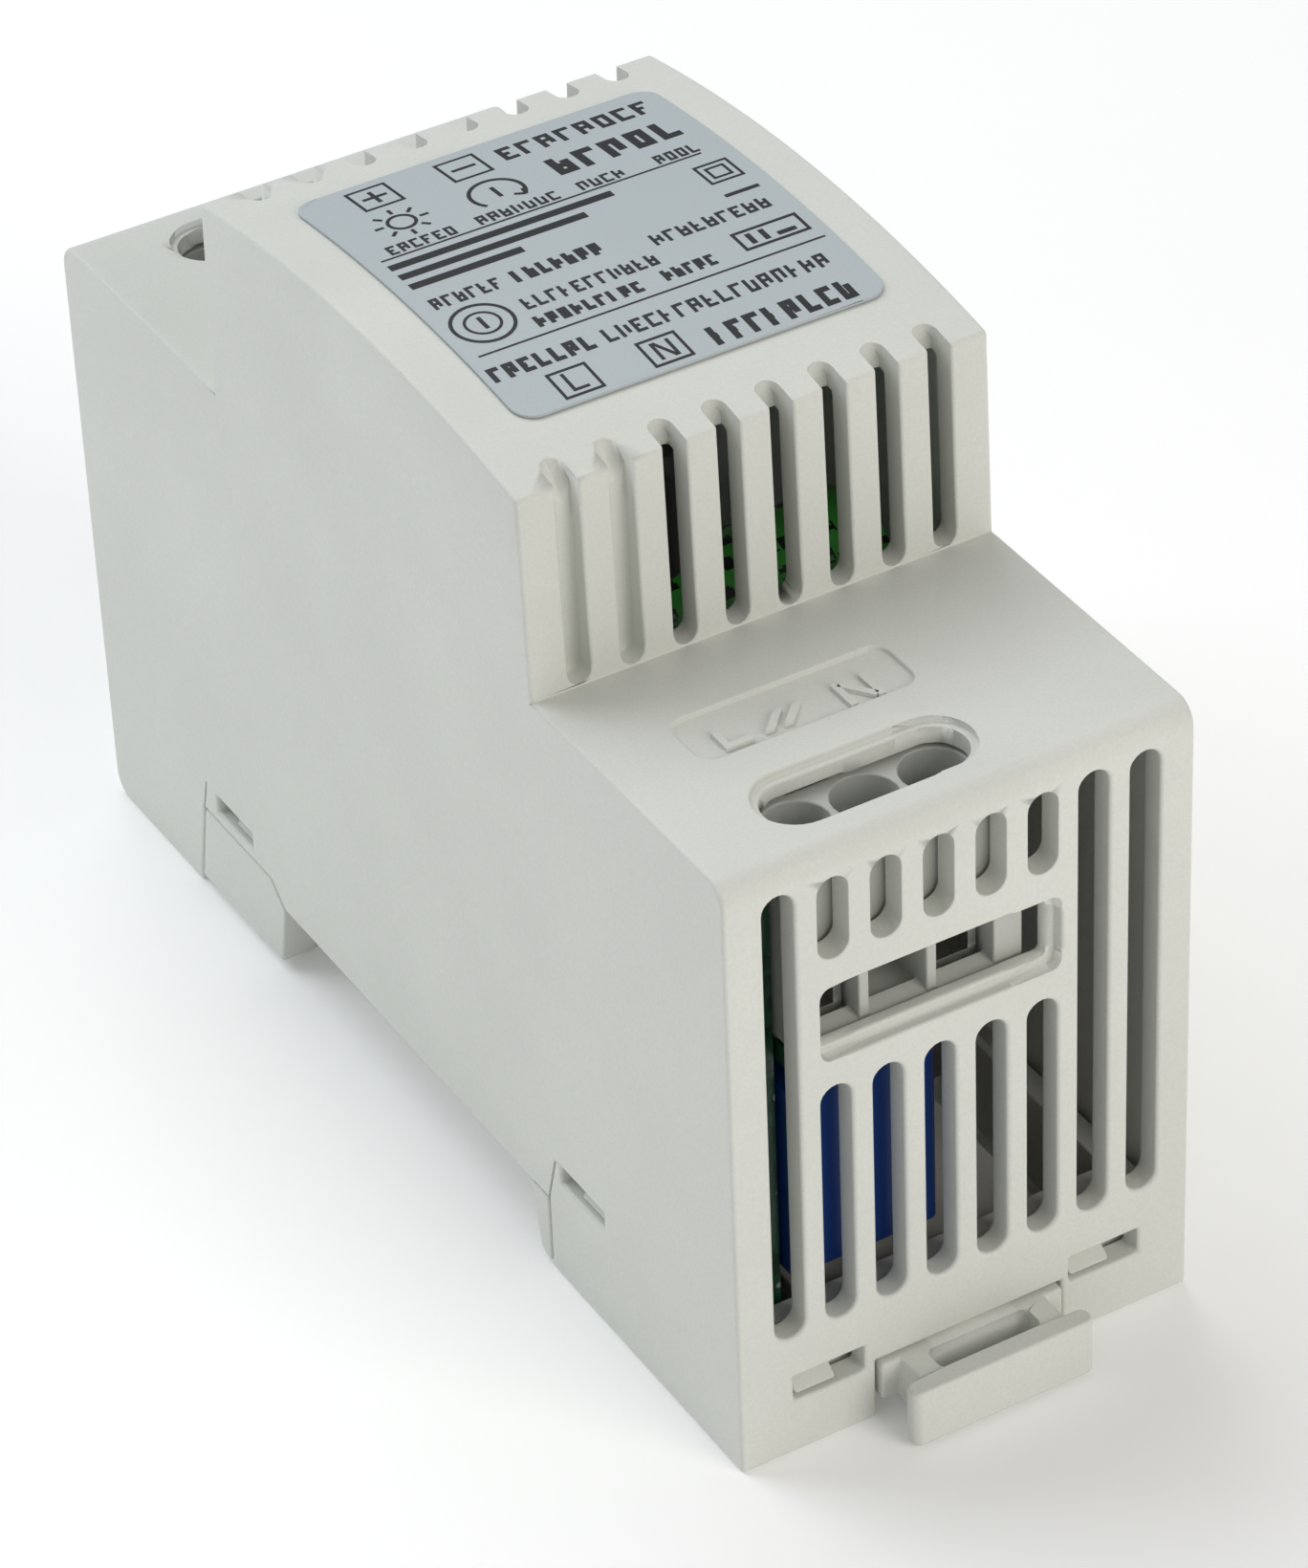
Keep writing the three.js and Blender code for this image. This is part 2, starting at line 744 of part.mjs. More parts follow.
function terminalBoard(depth) {
  const y = [blockFront - depth, blockFront];
  const plate = box([blockLeft, blockRight], y, [shelf.top - boardThickness, shelf.top]);
  const holes = [poleX[0], poleX[2]].map((x) => pinHole(x));
  return cut(plate, ...holes);
}

// ---- terminals, drawn for the far end and mirrored for the near one ----

const cageY = [poleY - cageDepth / 2, poleY + cageDepth / 2];
const cageFoot = wireFloor - cageSheet + 0.2;
const barUnder = cageFoot + cageSheet + wireGap;
const nutFoot = barUnder + pinSheet + 0.6;
const nutTop = nutFoot + cageNutHeight;
const cageHeadroom = nutTop + cageTravel + 0.25;
const headFoot = cageHeadroom + 0.75 + looseGap;
const legY = [cageY[0] - looseGap - pinSheet, cageY[0] - looseGap];

function pinHole(x) {
  const half = 0.5 + looseGap;
  const y = [legY[0] - looseGap, legY[1] + looseGap];
  return box([x - half, x + half], y, [shelf.top - boardThickness - 1, shelf.top + 1]);
}

function poleTools(x) {
  const half = poleCavity / 2;
  const well = rod(wellDiameter / 2, 'z', headFoot - looseGap, blockTop + 1, [x, poleY], 10);
  const throat = rod(screwDiameter / 2 + looseGap, 'z', cageHeadroom - 1, headFoot, [x, poleY], 8);
  const roomY = [legY[0] - looseGap, cageY[1] + looseGap];
  const room = box([x - half, x + half], roomY, [blockFloor + 0.6, cageHeadroom]);
  const leg = box([x - 1, x + 1], [legY[0] - looseGap, legY[1] + looseGap], [blockFloor - 1, blockFloor + 1]);
  const front = blockFront + 1;
  const funnel = outline([
    [cageY[1], wireFloor],
    [front, wireFloor - 0.9],
    [front, wireFloor + 5.2],
    [cageY[1], wireFloor + 4.4],
  ]);
  return [well, throat, room, leg, prism(funnel, 'x', x - half, x + half)];
}

function terminalBlock() {
  const y = [blockFront - blockDepth, blockFront];
  const body = box([blockLeft, blockRight], y, [blockFloor, blockTop]);
  const between = [0, 1].map((i) => (poleX[i] + poleX[i + 1]) / 2);
  const slotY = [poleY - 4, poleY - 2.9];
  const slots = between.map((x) => box([x - 1.6, x + 1.6], slotY, [blockTop - 3, blockTop + 1]));
  return cut(body, ...poleX.flatMap((x) => poleTools(x)), ...slots);
}

function clampScrew(x) {
  const r = screwDiameter / 2;
  const R = screwHeadDiameter / 2;
  const top = headFoot + screwHeadHeight;
  const foot = barUnder + pinSheet + looseGap;
  const head = [[R, headFoot], [R, top - 0.4], [R - 0.4, top]];
  const outline = [[0, foot], [r, foot], [r, headFoot], ...head, [0, top]];
  const body = turned(outline, x, poleY);
  const slot = box([x - R, x + R], [poleY - 0.3, poleY + 0.3], [top - 0.8, top + 1]);
  const cross = box([x - 0.3, x + 0.3], [poleY - 1.2, poleY + 1.2], [top - 1, top + 1]);
  return cut(body, slot, cross);
}

function clampCage(x) {
  const half = cageWidth / 2;
  const outer = box([x - half, x + half], cageY, [cageFoot, nutTop]);
  const tunnel = box(
    [x - half + cageSheet, x + half - cageSheet],
    [cageY[0] - 1, cageY[1] + 1],
    [cageFoot + cageSheet, nutFoot],
  );
  const thread = rod(screwDiameter / 2 + looseGap, 'z', nutFoot - 1, nutTop + 1, [x, poleY], 8);
  return cut(outer, tunnel, thread);
}

function contactPin(x) {
  const half = pinWidth / 2;
  const bar = box([x - half, x + half], [legY[0], cageY[1] - 0.2], [barUnder, barUnder + pinSheet]);
  const leg = box([x - 0.5, x + 0.5], legY, [shelf.top - boardThickness - 1.4, barUnder + 0.1]);
  const joint = box([x - half, x + half], legY, [barUnder - 1.2, barUnder + pinSheet]);
  return join(bar, joint, leg);
}

function addTerminals(end, names, place) {
  add(`${end}_terminal_block`, place(terminalBlock()), colours.block, 0.5);
  [0, 2].forEach((pole, i) => {
    const x = poleX[pole];
    add(`${names[i]}_clamp_screw`, place(clampScrew(x)), colours.plated, 0.3, 1);
    add(`${names[i]}_clamp_cage`, place(clampCage(x)), colours.plated, 0.35, 1);
    add(`${names[i]}_contact_pin`, place(contactPin(x)), colours.tinned, 0.4, 1);
  });
}

// ---- components on the main board ----
// They stand out along +X from the board. Near ones are placed from the input end wall or from the
// back of the input block, middle ones from the raised part, far ones from the output end wall.

const behindInput = blockDepth - blockFront;

const filmCapacitor = { behindWall: 1.2, thickness: 5, foot: 3.35, height: 15.8, reach: 11.1, radius: 0.6 };

function interferenceCapacitor() {
  const { behindWall, thickness, foot, height, reach, radius } = filmCapacitor;
  const y = [behindWall - innerY, behindWall + thickness - innerY];
  const z = [boardFoot + foot, boardFoot + foot + height];
  return prism(roundedRectangle(y, z, radius), 'x', partsFoot, partsFoot + reach, 3);
}

const choke = {
  behindWall: 14.6,
  rise: 11.05,
  lift: 0.4,
  legGap: 9.6,
  leg: 4,
  length: 20,
  turnRadius: 4.6,
  turnLength: 11,
};
choke.y = choke.behindWall - innerY;
choke.z = boardFoot + choke.rise;
choke.x = partsFoot + choke.lift;

function chokeCore() {
  const { x, y, z, legGap, leg, length } = choke;
  const half = legGap / 2 + leg / 2;
  const whole = box([x, x + length], [y - leg / 2, y + leg / 2], [z - half, z + half]);
  const window = box([x + leg, x + length - leg], [y - leg, y + leg], [z - half + leg, z + half - leg]);
  return cut(whole, window);
}

function chokeWinding(side) {
  const { y, z, legGap, leg, length, turnRadius, turnLength } = choke;
  const centre = z + (side * legGap) / 2;
  const low = choke.x + (length - turnLength) / 2;
  const hole = leg / 2 + looseGap;
  const bore = box([low - 1, low + turnLength + 1], [y - hole, y + hole], [centre - hole, centre + hole]);
  return cut(rod(turnRadius, 'x', low, low + turnLength, [y, centre]), bore);
}

// A wound or coated disc standing on the board with its axis along y. Its edges are softened.
function disc(radius, thickness, y, z) {
  const soft = thickness / 4;
  const half = thickness / 2;
  const profile = [[0, -half], [radius - soft, -half], [radius, -half + soft], [radius, half - soft],
    [radius - soft, half], [0, half]];
  const points = profile.map(([r, a]) => new THREE.Vector2(r, a));
  const lift = 1;
  return solid(new THREE.LatheGeometry(points, 20).translate(partsFoot + lift + radius, y, z));
}

const fuseBody = { radius: 4.1, length: 7.6, chamfer: 0.6 };

function fuse() {
  const { radius, length, chamfer } = fuseBody;
  const high = partsFoot + length;
  const rim = [[radius, high - chamfer], [radius - chamfer, high]];
  const profile = [[0, partsFoot], [radius, partsFoot], ...rim, [0, high]];
  return turnedAcross(profile, behindInput + radius + 0.4, shelf.top + radius - 1.6, 20);
}

const varistorBody = { radius: 3.8, thickness: 3.6 };

function surgeVaristor() {
  const { radius, thickness } = varistorBody;
  return disc(radius, thickness, behindInput + thickness / 2 + 1.7, blockTop - radius - 0.3);
}

const thermistorBody = { radius: 5, thickness: 4 };

function inrushThermistor() {
  const { radius, thickness } = thermistorBody;
  const y = thickness / 2 + wall + 2.3 - raisedFoot;
  return disc(radius, thickness, y, archEdgeHeight - roof - radius - 2.4);
}

const rectifierBody = { thickness: 3.3, reach: 10.4, width: 14.3, chamfer: 1.2 };

function bridgeRectifier() {
  const { thickness, reach, width, chamfer } = rectifierBody;
  const high = blockTop - 1.3;
  const shape = outline([
    [partsFoot, high - width],
    [partsFoot + reach, high - width],
    [partsFoot + reach, high - chamfer],
    [partsFoot + reach - chamfer, high],
    [partsFoot, high],
  ]);
  const y = 1.7 - raisedFoot;
  return prism(shape, 'y', y - thickness, y);
}

// An electrolytic capacitor standing out from the board: a sleeve, a crimp groove and a rounded shoulder.
function electrolytic({ radius, length }, y, z) {
  const low = partsFoot;
  const high = partsFoot + length;
  const groove = 0.4;
  const crimp = [[radius, low + 1.8], [radius - groove, low + 2.3], [radius, low + 2.8]];
  const shoulder = [[radius, high - 0.8], [radius - 0.8, high]];
  const profile = [[0, low], [radius - groove, low], [radius, low + 0.5], ...crimp, ...shoulder, [0, high]];
  return turnedAcross(profile, y, z);
}

const bulkCan = { radius: 6.25, length: 24.2 };
const outputCan = { radius: 5, length: 20 };

function bulkCapacitor() {
  return electrolytic(bulkCan, bulkCan.radius + 2.75 - raisedFoot, shelf.top + bulkCan.radius + 4.55);
}

function outputCapacitor(fromWall) {
  return electrolytic(outputCan, innerY - fromWall, boardFoot + outputCan.radius + 1.45);
}

// ---- heat sinks and what they carry, drawn for the far side ----

const sink = { inset: 4.3, sheet: 1.5, foot: 1.25, height: 22.6, reach: 23, fold: 4 };
sink.y = raisedFoot - sink.inset;
sink.low = boardFoot + sink.foot;
const tabHole = { x: partsFoot + 15.5, z: sink.low + 10.6, radius: 1.6 };

function heatSink() {
  const x = [partsFoot, partsFoot + sink.reach];
  const z = [sink.low, sink.low + sink.height];
  const plate = box(x, [sink.y, sink.y + sink.sheet], z);
  const fold = box([x[1] - sink.sheet, x[1]], [sink.y - sink.fold, sink.y + sink.sheet], z);
  const hole = rod(tabHole.radius, 'y', sink.y - 1, sink.y + sink.sheet + 1, [tabHole.x, tabHole.z], 8);
  return cut(join(plate, fold), hole);
}

const packageSize = { width: 10, tab: 1.3, body: 4.5, legPitch: 2.54, seat: 0.1 };

// A transistor package against the heat sink: a thin tab with a hole, a thick moulded body and three legs.
function powerPackage() {
  const { width, tab, body, legPitch, seat } = packageSize;
  const back = sink.y - seat;
  const z = [tabHole.z - width / 2, tabHole.z + width / 2];
  const plate = box([tabHole.x - 3.2, tabHole.x + 3.1], [back - tab, back], z);
  const moulding = box([partsFoot + 3.4, tabHole.x - 3.1], [back - body, back], z);
  const legs = [-1, 0, 1].map((i) => {
    const centre = tabHole.z + i * legPitch;
    return box([partsFoot, partsFoot + 3.5], [back - 3, back - 2.4], [centre - 0.4, centre + 0.4]);
  });
  const hole = rod(tabHole.radius + 0.25, 'y', back - 2, back + 1, [tabHole.x, tabHole.z], 8);
  return cut(join(plate, moulding, ...legs), hole);
}

function fixingScrew() {
  const under = sink.y - packageSize.seat - packageSize.tab - looseGap;
  const at = [tabHole.x, tabHole.z];
  const shank = rod(tabHole.radius - looseGap, 'y', under - 0.1, sink.y + sink.sheet + 0.2, at, 8);
  const head = rod(2.6, 'y', under - 1.9, under, at, 10);
  const slot = box([at[0] - 3, at[0] + 3], [under - 3, under - 1.2], [at[1] - 0.3, at[1] + 0.3]);
  return cut(join(head, shank), slot);
}

// A chip lying on the board, placed by its centre.
function chip(length, width, y, z) {
  const shape = roundedRectangle([y - length / 2, y + length / 2], [z - width / 2, z + width / 2], 0.3);
  return prism(shape, 'x', partsFoot, partsFoot + 3.6, 2);
}

// ---- transformer ----

const trafo = { lift: 0.9, y: 1, rise: 13.85, half: 10, yoke: 3.3, leg: 6, side: 3, depth: 6, gap: 0.3 };
trafo.x = partsFoot + trafo.lift + trafo.half;
trafo.z = boardFoot + trafo.rise;

function coreHalf(side) {
  const t = trafo;
  const inner = t.half - t.side;
  const shape = outline([
    [t.half, t.half],
    [t.half, -t.half],
    [t.gap / 2, -t.half],
    [t.gap / 2, -inner],
    [t.half - t.yoke, -inner],
    [t.half - t.yoke, -t.leg / 2],
    [t.gap / 2, -t.leg / 2],
    [t.gap / 2, t.leg / 2],
    [t.half - t.yoke, t.leg / 2],
    [t.half - t.yoke, inner],
    [t.gap / 2, inner],
    [t.gap / 2, t.half],
  ].reverse());
  const right = prism(shape, 'z', -t.depth / 2, t.depth / 2);
  return (side > 0 ? right : right.mirror([1, 0, 0])).translate([t.x, t.y, t.z]);
}

const spool = { length: 12.6, flange: 0.8, width: 13.2, height: 17, tube: 8.2 };

function squareTube(length, outerY, outerZ, bore, radius) {
  const body = prism(roundedRectangle([-outerY / 2, outerY / 2], [-outerZ / 2, outerZ / 2], radius), 'x',
    -length / 2, length / 2, 4);
  const hole = box([-length, length], [-bore / 2, bore / 2], [-bore / 2, bore / 2]);
  return cut(body, hole);
}

function bobbin() {
  const s = spool;
  const bore = trafo.leg + 2 * looseGap;
  const tube = squareTube(s.length, s.tube, s.tube, bore, 0.3);
  const flange = squareTube(s.flange, s.width, s.height, bore, 0.5);
  const reach = (s.length - s.flange) / 2;
  return join(tube, flange.translate([-reach, 0, 0]), flange.translate([reach, 0, 0]))
    .translate([trafo.x, trafo.y, trafo.z]);
}

// The outside of the winding or of the tape around it, less a margin below the bobbin's flanges.
function woundBody(margin) {
  const length = spool.length - 2 * spool.flange - 2 * looseGap;
  const y = spool.width / 2 - margin;
  const z = spool.height / 2 - margin;
  return prism(roundedRectangle([-y, y], [-z, z], 2.4), 'x', -length / 2, length / 2, 4);
}

function transformerWinding() {
  const bore = spool.tube / 2 + looseGap;
  const hole = box([-spool.length, spool.length], [-bore, bore], [-bore, bore]);
  return cut(woundBody(0.8), hole).translate([trafo.x, trafo.y, trafo.z]);
}

function transformerTape() {
  return cut(woundBody(0.2), woundBody(0.6).scale([1.5, 1, 1])).translate([trafo.x, trafo.y, trafo.z]);
}

// ---- output filter and controls ----

const drum = { radius: 4.2, waist: 1.8, flange: 1.4, length: 10.4 };
drum.y = innerY - 11;
drum.z = shelf.top - boardThickness - drum.radius - 1.3;

function filterInductorCore() {
  const { radius, waist, flange, length, y, z } = drum;
  const low = partsFoot;
  const high = low + length;
  return turnedAcross([[0, low], [radius, low], [radius, low + flange], [waist, low + flange],
    [waist, high - flange], [radius, high - flange], [radius, high], [0, high]], y, z, 20);
}

function filterInductorWinding() {
  const { radius, waist, flange, length, y, z } = drum;
  const low = partsFoot + flange + looseGap;
  const high = partsFoot + length - flange - looseGap;
  const shell = rod(radius - looseGap, 'x', low, high, [y, z], 10);
  return cut(shell, rod(waist + looseGap, 'x', low - 1, high + 1, [y, z], 10));
}

const controlsY = halfLength - controlsInset;

const trimmer = { width: 6.6, depth: 5.8, height: 10, spindle: 1.5, cap: 1.65, sunk: 0.8 };

function trimmerBody() {
  const x = poleX[2];
  const { width, depth, height, spindle } = trimmer;
  const z = [shelf.top + looseGap, shelf.top + looseGap + height];
  const body = box([x - width / 2, x + width / 2], [controlsY - depth / 2, controlsY + depth / 2], z);
  return cut(body, rod(spindle + looseGap, 'z', z[1] - 4, z[1] + 1, [x, controlsY], 8));
}

// The rotor is a long spindle that ends in a screwdriver slot just under the shoulder.
function trimmerRotor() {
  const x = poleX[2];
  const { height, spindle, cap, sunk } = trimmer;
  const bodyTop = shelf.top + looseGap + height;
  const low = bodyTop - 4 + looseGap;
  const neck = bodyTop + looseGap;
  const top = shoulderHeight - sunk;
  const dial = [[cap, neck], [cap, top - 0.3], [cap - 0.3, top]];
  const profile = [[0, low], [spindle, low], [spindle, neck], ...dial, [0, top]];
  const slot = box([x - 2, x + 2], [controlsY - 0.3, controlsY + 0.3], [top - 1, top + 1]);
  return cut(turned(profile, x, controlsY, 20), slot);
}

const lamp = { radius: 1.45, collar: 1.9, legLength: 8, proud: 0.4, legPitch: 2.54, leg: 0.5 };

function statusLamp() {
  const x = poleX[0];
  const { radius, collar, legLength, proud, legPitch, leg } = lamp;
  const foot = shelf.top + looseGap;
  const dome = shoulderHeight + proud;
  const low = foot + legLength;
  const profile = [[0, low], [collar, low], [collar, low + 1], [radius, low + 1]];
  for (let i = 0; i < 5; i += 1) {
    const angle = (i * Math.PI) / 10;
    profile.push([radius * Math.cos(angle), dome - radius + radius * Math.sin(angle)]);
  }
  profile.push([0, dome]);
  const legs = [-1, 1].map((side) => {
    const centre = x + (side * legPitch) / 2;
    const acrossLeg = [controlsY - leg / 2, controlsY + leg / 2];
    return box([centre - leg / 2, centre + leg / 2], acrossLeg, [foot, low + 1]);
  });
  return join(turned(profile, x, controlsY, 20), ...legs);
}

// ---- assembly ----

add('cover', cover(), colours.housing, 0.55);
add('base', base(), colours.housing, 0.55);
add('rail_latch', railLatch(), colours.housing, 0.5);
add('latch_spring', latchSpring(), colours.plated, 0.35, 1);
add('rating_label', ratingLabel(), colours.labelSheet, 0.45);
add('main_board', mainBoard(), colours.boardGreen, 0.4);
add('input_terminal_board', mirroredEnd(terminalBoard(shelf.inputDepth)), colours.boardGreen, 0.4);
add('output_terminal_board', terminalBoard(shelf.outputDepth), colours.boardGreen, 0.4);
addTerminals('input', ['line', 'neutral'], mirroredEnd);
addTerminals('output', ['plus', 'minus'], (manifold) => manifold);
add('interference_capacitor', interferenceCapacitor(), colours.filmBlue, 0.35);
add('choke_core', chokeCore(), colours.ferrite, 0.6);
add('choke_winding_lower', chokeWinding(-1), colours.copper, 0.35);
add('choke_winding_upper', chokeWinding(1), colours.copper, 0.35);
add('fuse', fuse(), colours.black, 0.4);
add('surge_varistor', surgeVaristor(), colours.discBlue, 0.4);
add('inrush_thermistor', inrushThermistor(), colours.black, 0.5);
add('bridge_rectifier', bridgeRectifier(), colours.black, 0.4);
add('bulk_capacitor', bulkCapacitor(), colours.sleeveGreen, 0.3);
add('primary_heat_sink', mirroredEnd(heatSink()), colours.aluminium, 0.4, 1);
add('switching_transistor', mirroredEnd(powerPackage()), colours.black, 0.4);
add('transistor_screw', mirroredEnd(fixingScrew()), colours.plated, 0.35, 1);
add('controller_chip', chip(9.5, 6.4, 3.5, archEdgeHeight - 9.4), colours.black, 0.4);
add('transformer_core_inner', coreHalf(-1), colours.ferrite, 0.6);
add('transformer_core_outer', coreHalf(1), colours.ferrite, 0.6);
add('transformer_bobbin', bobbin(), colours.black, 0.5);
add('transformer_winding', transformerWinding(), colours.copper, 0.35);
add('transformer_tape', transformerTape(), colours.tape, 0.4);
add('safety_capacitor', disc(4.4, 4, raisedFoot - 9.3, trafo.z + 18), colours.discBlue, 0.4);
add('optocoupler', chip(4.6, 4.6, 4.3, trafo.z + 18.3), colours.black, 0.4);
add('output_heat_sink', heatSink(), colours.aluminium, 0.4, 1);
add('output_rectifier', powerPackage(), colours.black, 0.4);
add('rectifier_screw', fixingScrew(), colours.plated, 0.35, 1);
add('output_capacitor_inner', outputCapacitor(17.4), colours.sleeveBlack, 0.3);
add('output_capacitor_outer', outputCapacitor(6.2), colours.sleeveBlack, 0.3);
add('filter_inductor_core', filterInductorCore(), colours.ferrite, 0.6);
add('filter_inductor_winding', filterInductorWinding(), colours.copper, 0.35);
add('trimmer_body', trimmerBody(), colours.trimmerBlue, 0.45);
add('trimmer_rotor', trimmerRotor(), colours.block, 0.45);
add('status_lamp', statusLamp(), colours.lampGreen, 0.2);

export default group;
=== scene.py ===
# Looks of a two-module power supply for a top-hat rail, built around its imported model.
# Metres, Z up, the supply side at -Y. Settings of each piece stand in a dictionary beside its code.
import json
import math
import bmesh
import bpy
import numpy as np
from mathutils import Matrix, Vector

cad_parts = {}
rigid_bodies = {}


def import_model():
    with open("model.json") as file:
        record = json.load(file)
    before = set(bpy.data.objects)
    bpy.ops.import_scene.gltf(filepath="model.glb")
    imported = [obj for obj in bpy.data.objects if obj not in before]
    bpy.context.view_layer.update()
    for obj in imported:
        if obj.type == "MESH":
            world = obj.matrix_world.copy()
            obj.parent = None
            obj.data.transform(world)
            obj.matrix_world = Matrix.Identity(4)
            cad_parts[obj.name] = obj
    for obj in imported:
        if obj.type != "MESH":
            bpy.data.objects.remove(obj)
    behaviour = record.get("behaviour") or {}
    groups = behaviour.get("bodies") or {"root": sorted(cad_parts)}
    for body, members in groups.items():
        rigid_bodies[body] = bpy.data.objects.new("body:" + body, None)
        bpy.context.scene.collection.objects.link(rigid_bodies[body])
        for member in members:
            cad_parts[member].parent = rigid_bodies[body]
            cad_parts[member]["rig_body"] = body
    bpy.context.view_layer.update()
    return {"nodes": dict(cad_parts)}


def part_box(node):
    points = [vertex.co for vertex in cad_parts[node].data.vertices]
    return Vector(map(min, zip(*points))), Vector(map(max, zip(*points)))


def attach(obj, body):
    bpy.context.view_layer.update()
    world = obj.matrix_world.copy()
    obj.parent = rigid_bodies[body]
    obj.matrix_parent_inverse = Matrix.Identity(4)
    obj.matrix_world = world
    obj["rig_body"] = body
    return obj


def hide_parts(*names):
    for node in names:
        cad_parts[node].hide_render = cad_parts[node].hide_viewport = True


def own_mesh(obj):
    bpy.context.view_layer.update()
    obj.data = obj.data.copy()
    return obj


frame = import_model()
mm = 0.001
print("frame loaded:", len(frame["nodes"]), "nodes")


# One shader output that can be used in sums, differences and products.
class Signal:
    def __init__(self, graph, socket):
        self.graph = graph
        self.socket = socket

    def maths(self, operation, first, second):
        return self.graph.maths(operation, first, second)

    def __add__(self, other):
        return self.maths("ADD", self, other)

    def __sub__(self, other):
        return self.maths("SUBTRACT", self, other)

    def __rsub__(self, other):
        return self.maths("SUBTRACT", other, self)

    def __mul__(self, other):
        return self.maths("MULTIPLY", self, other)

    def __gt__(self, other):
        return self.maths("GREATER_THAN", self, other)

    def __lt__(self, other):
        return self.maths("LESS_THAN", self, other)

    __radd__ = __add__
    __rmul__ = __mul__


# A material's node tree with one Principled shader at its end.
class Graph:
    def __init__(self, name, **constants):
        self.material = bpy.data.materials.new(name)
        self.material.use_nodes = True
        self.tree = self.material.node_tree
        self.shader = self.tree.nodes["Principled BSDF"]
        for key, value in constants.items():
            self.shader.inputs[key.replace("_", " ")].default_value = value

    # A node of a kind: its settings are set first, then its inputs get values or links.
    def add(self, kind, settings=None, inputs=None, output=0):
        node = self.tree.nodes.new(kind)
        for key, value in (settings or {}).items():
            setattr(node, key, value)
        for key, value in (inputs or {}).items():
            self.feed(node.inputs[key], value)
        return Signal(self, node.outputs[output])

    def feed(self, socket, value):
        if isinstance(value, Signal):
            self.tree.links.new(value.socket, socket)
        else:
            socket.default_value = value

    def place(self, scale=(1, 1, 1), turn=(0, 0, 0)):
        spot = self.add("ShaderNodeTexCoord", output="Object")
        return self.add("ShaderNodeMapping", None, {"Vector": spot, "Scale": scale, "Rotation": turn})

    def noise(self, size, detail=2.0, place=None, roughness=0.5):
        spot = place or self.place()
        values = {"Vector": spot, "Scale": 1 / size, "Detail": detail, "Roughness": roughness}
        return self.add("ShaderNodeTexNoise", None, values, "Fac")

    # A mask that rises from 0 to 1 as a signal goes from low to high.
    def ramp(self, signal, low, high):
        values = {"Value": signal, "From Min": low, "From Max": high}
        return self.add("ShaderNodeMapRange", {"clamp": True}, values)

    def maths(self, operation, first, second=0.0):
        return self.add("ShaderNodeMath", {"operation": operation}, {0: first, 1: second})

    def whole(self, signal):
        return self.maths("FLOOR", signal)

    def axis(self, name, place=None):
        return self.add("ShaderNodeSeparateXYZ", None, {0: place or self.place()}, name)

    def blend(self, factor, first, second):
        settings = {"data_type": "RGBA"}
        return self.add("ShaderNodeMix", settings, {0: factor, 6: first, 7: second}, 2)

    def bump(self, height, depth, strength=1.0):
        values = {"Height": height, "Distance": depth, "Strength": strength}
        self.feed(self.shader.inputs["Normal"], self.add("ShaderNodeBump", None, values))

    def paint(self, key, value):
        self.feed(self.shader.inputs[key], value)


# Display values from 0 to 255, made linear.
def colour(red, green, blue):
    values = [((c / 255 + 0.055) / 1.055) ** 2.4 if c > 10 else c / 3295 for c in (red, green, blue)]
    return tuple(values) + (1.0,)


def shade(base, factor):
    return tuple(min(1.0, c * factor) for c in base[:3]) + (1.0,)


# Injection-moulded plastic: fine grain, faint clouds in the colour, soft gloss.
def moulded(name, base, grain=0.22, depth=0.012, roughness=0.5, cloud=0.05, fleck=0.03):
    g = Graph(name, IOR=1.46)
    clouds = g.noise(14 * mm, 3)
    specks = g.ramp(g.noise(grain * mm, 2), 0.3, 0.7)
    tone = g.blend(g.ramp(clouds, 0.35, 0.65), shade(base, 1 - cloud / 2), shade(base, 1 + cloud / 2))
    g.paint("Base Color", g.blend(specks * fleck * 4, tone, shade(base, 1 - fleck * 4)))
    g.paint("Roughness", g.ramp(g.noise(3 * mm, 4), 0, 1) * 0.12 + (roughness - 0.06))
    g.bump(g.noise(grain * mm, 3), depth * mm, 0.6)
    return g.material


# Metal: drawn-out scratches along one direction, cloudy dulling.
def metal(name, base, roughness=0.3, stretch=(1, 1, 1), depth=0.004):
    g = Graph(name, Metallic=1.0)
    lines = g.noise(0.25 * mm, 3, g.place(stretch))
    dull = g.ramp(g.noise(2.5 * mm, 4), 0.35, 0.7)
    g.paint("Base Color", g.blend(dull, base, shade(base, 0.8)))
    g.paint("Roughness", dull * 0.15 + lines * 0.12 + (roughness - 0.1))
    g.bump(lines, depth * mm, 0.7)
    return g.material


# Rows of letter-like marks: cells chosen at random in rows, each broken by a finer random pattern.
def printing(g, u, v, cell, row, share=0.7):
    def random(first, second):
        spot = g.add("ShaderNodeCombineXYZ", None, {0: first, 1: second})
        return g.add("ShaderNodeTexWhiteNoise", {"noise_dimensions": "2D"}, {"Vector": spot}, "Value")

    columns, rows = u * (1 / cell), v * (1 / row)
    fineU, fineV = u * (3 / cell), v * (6 / row)
    column, line = g.whole(columns), g.whole(rows)
    chosen = random(column, line) < share
    inside = (rows - line > 0.25) * (rows - line < 0.75) * (columns - column < 0.82)
    stroke = random(g.whole(fineU), g.whole(fineV)) < 0.72
    return chosen * inside * stroke


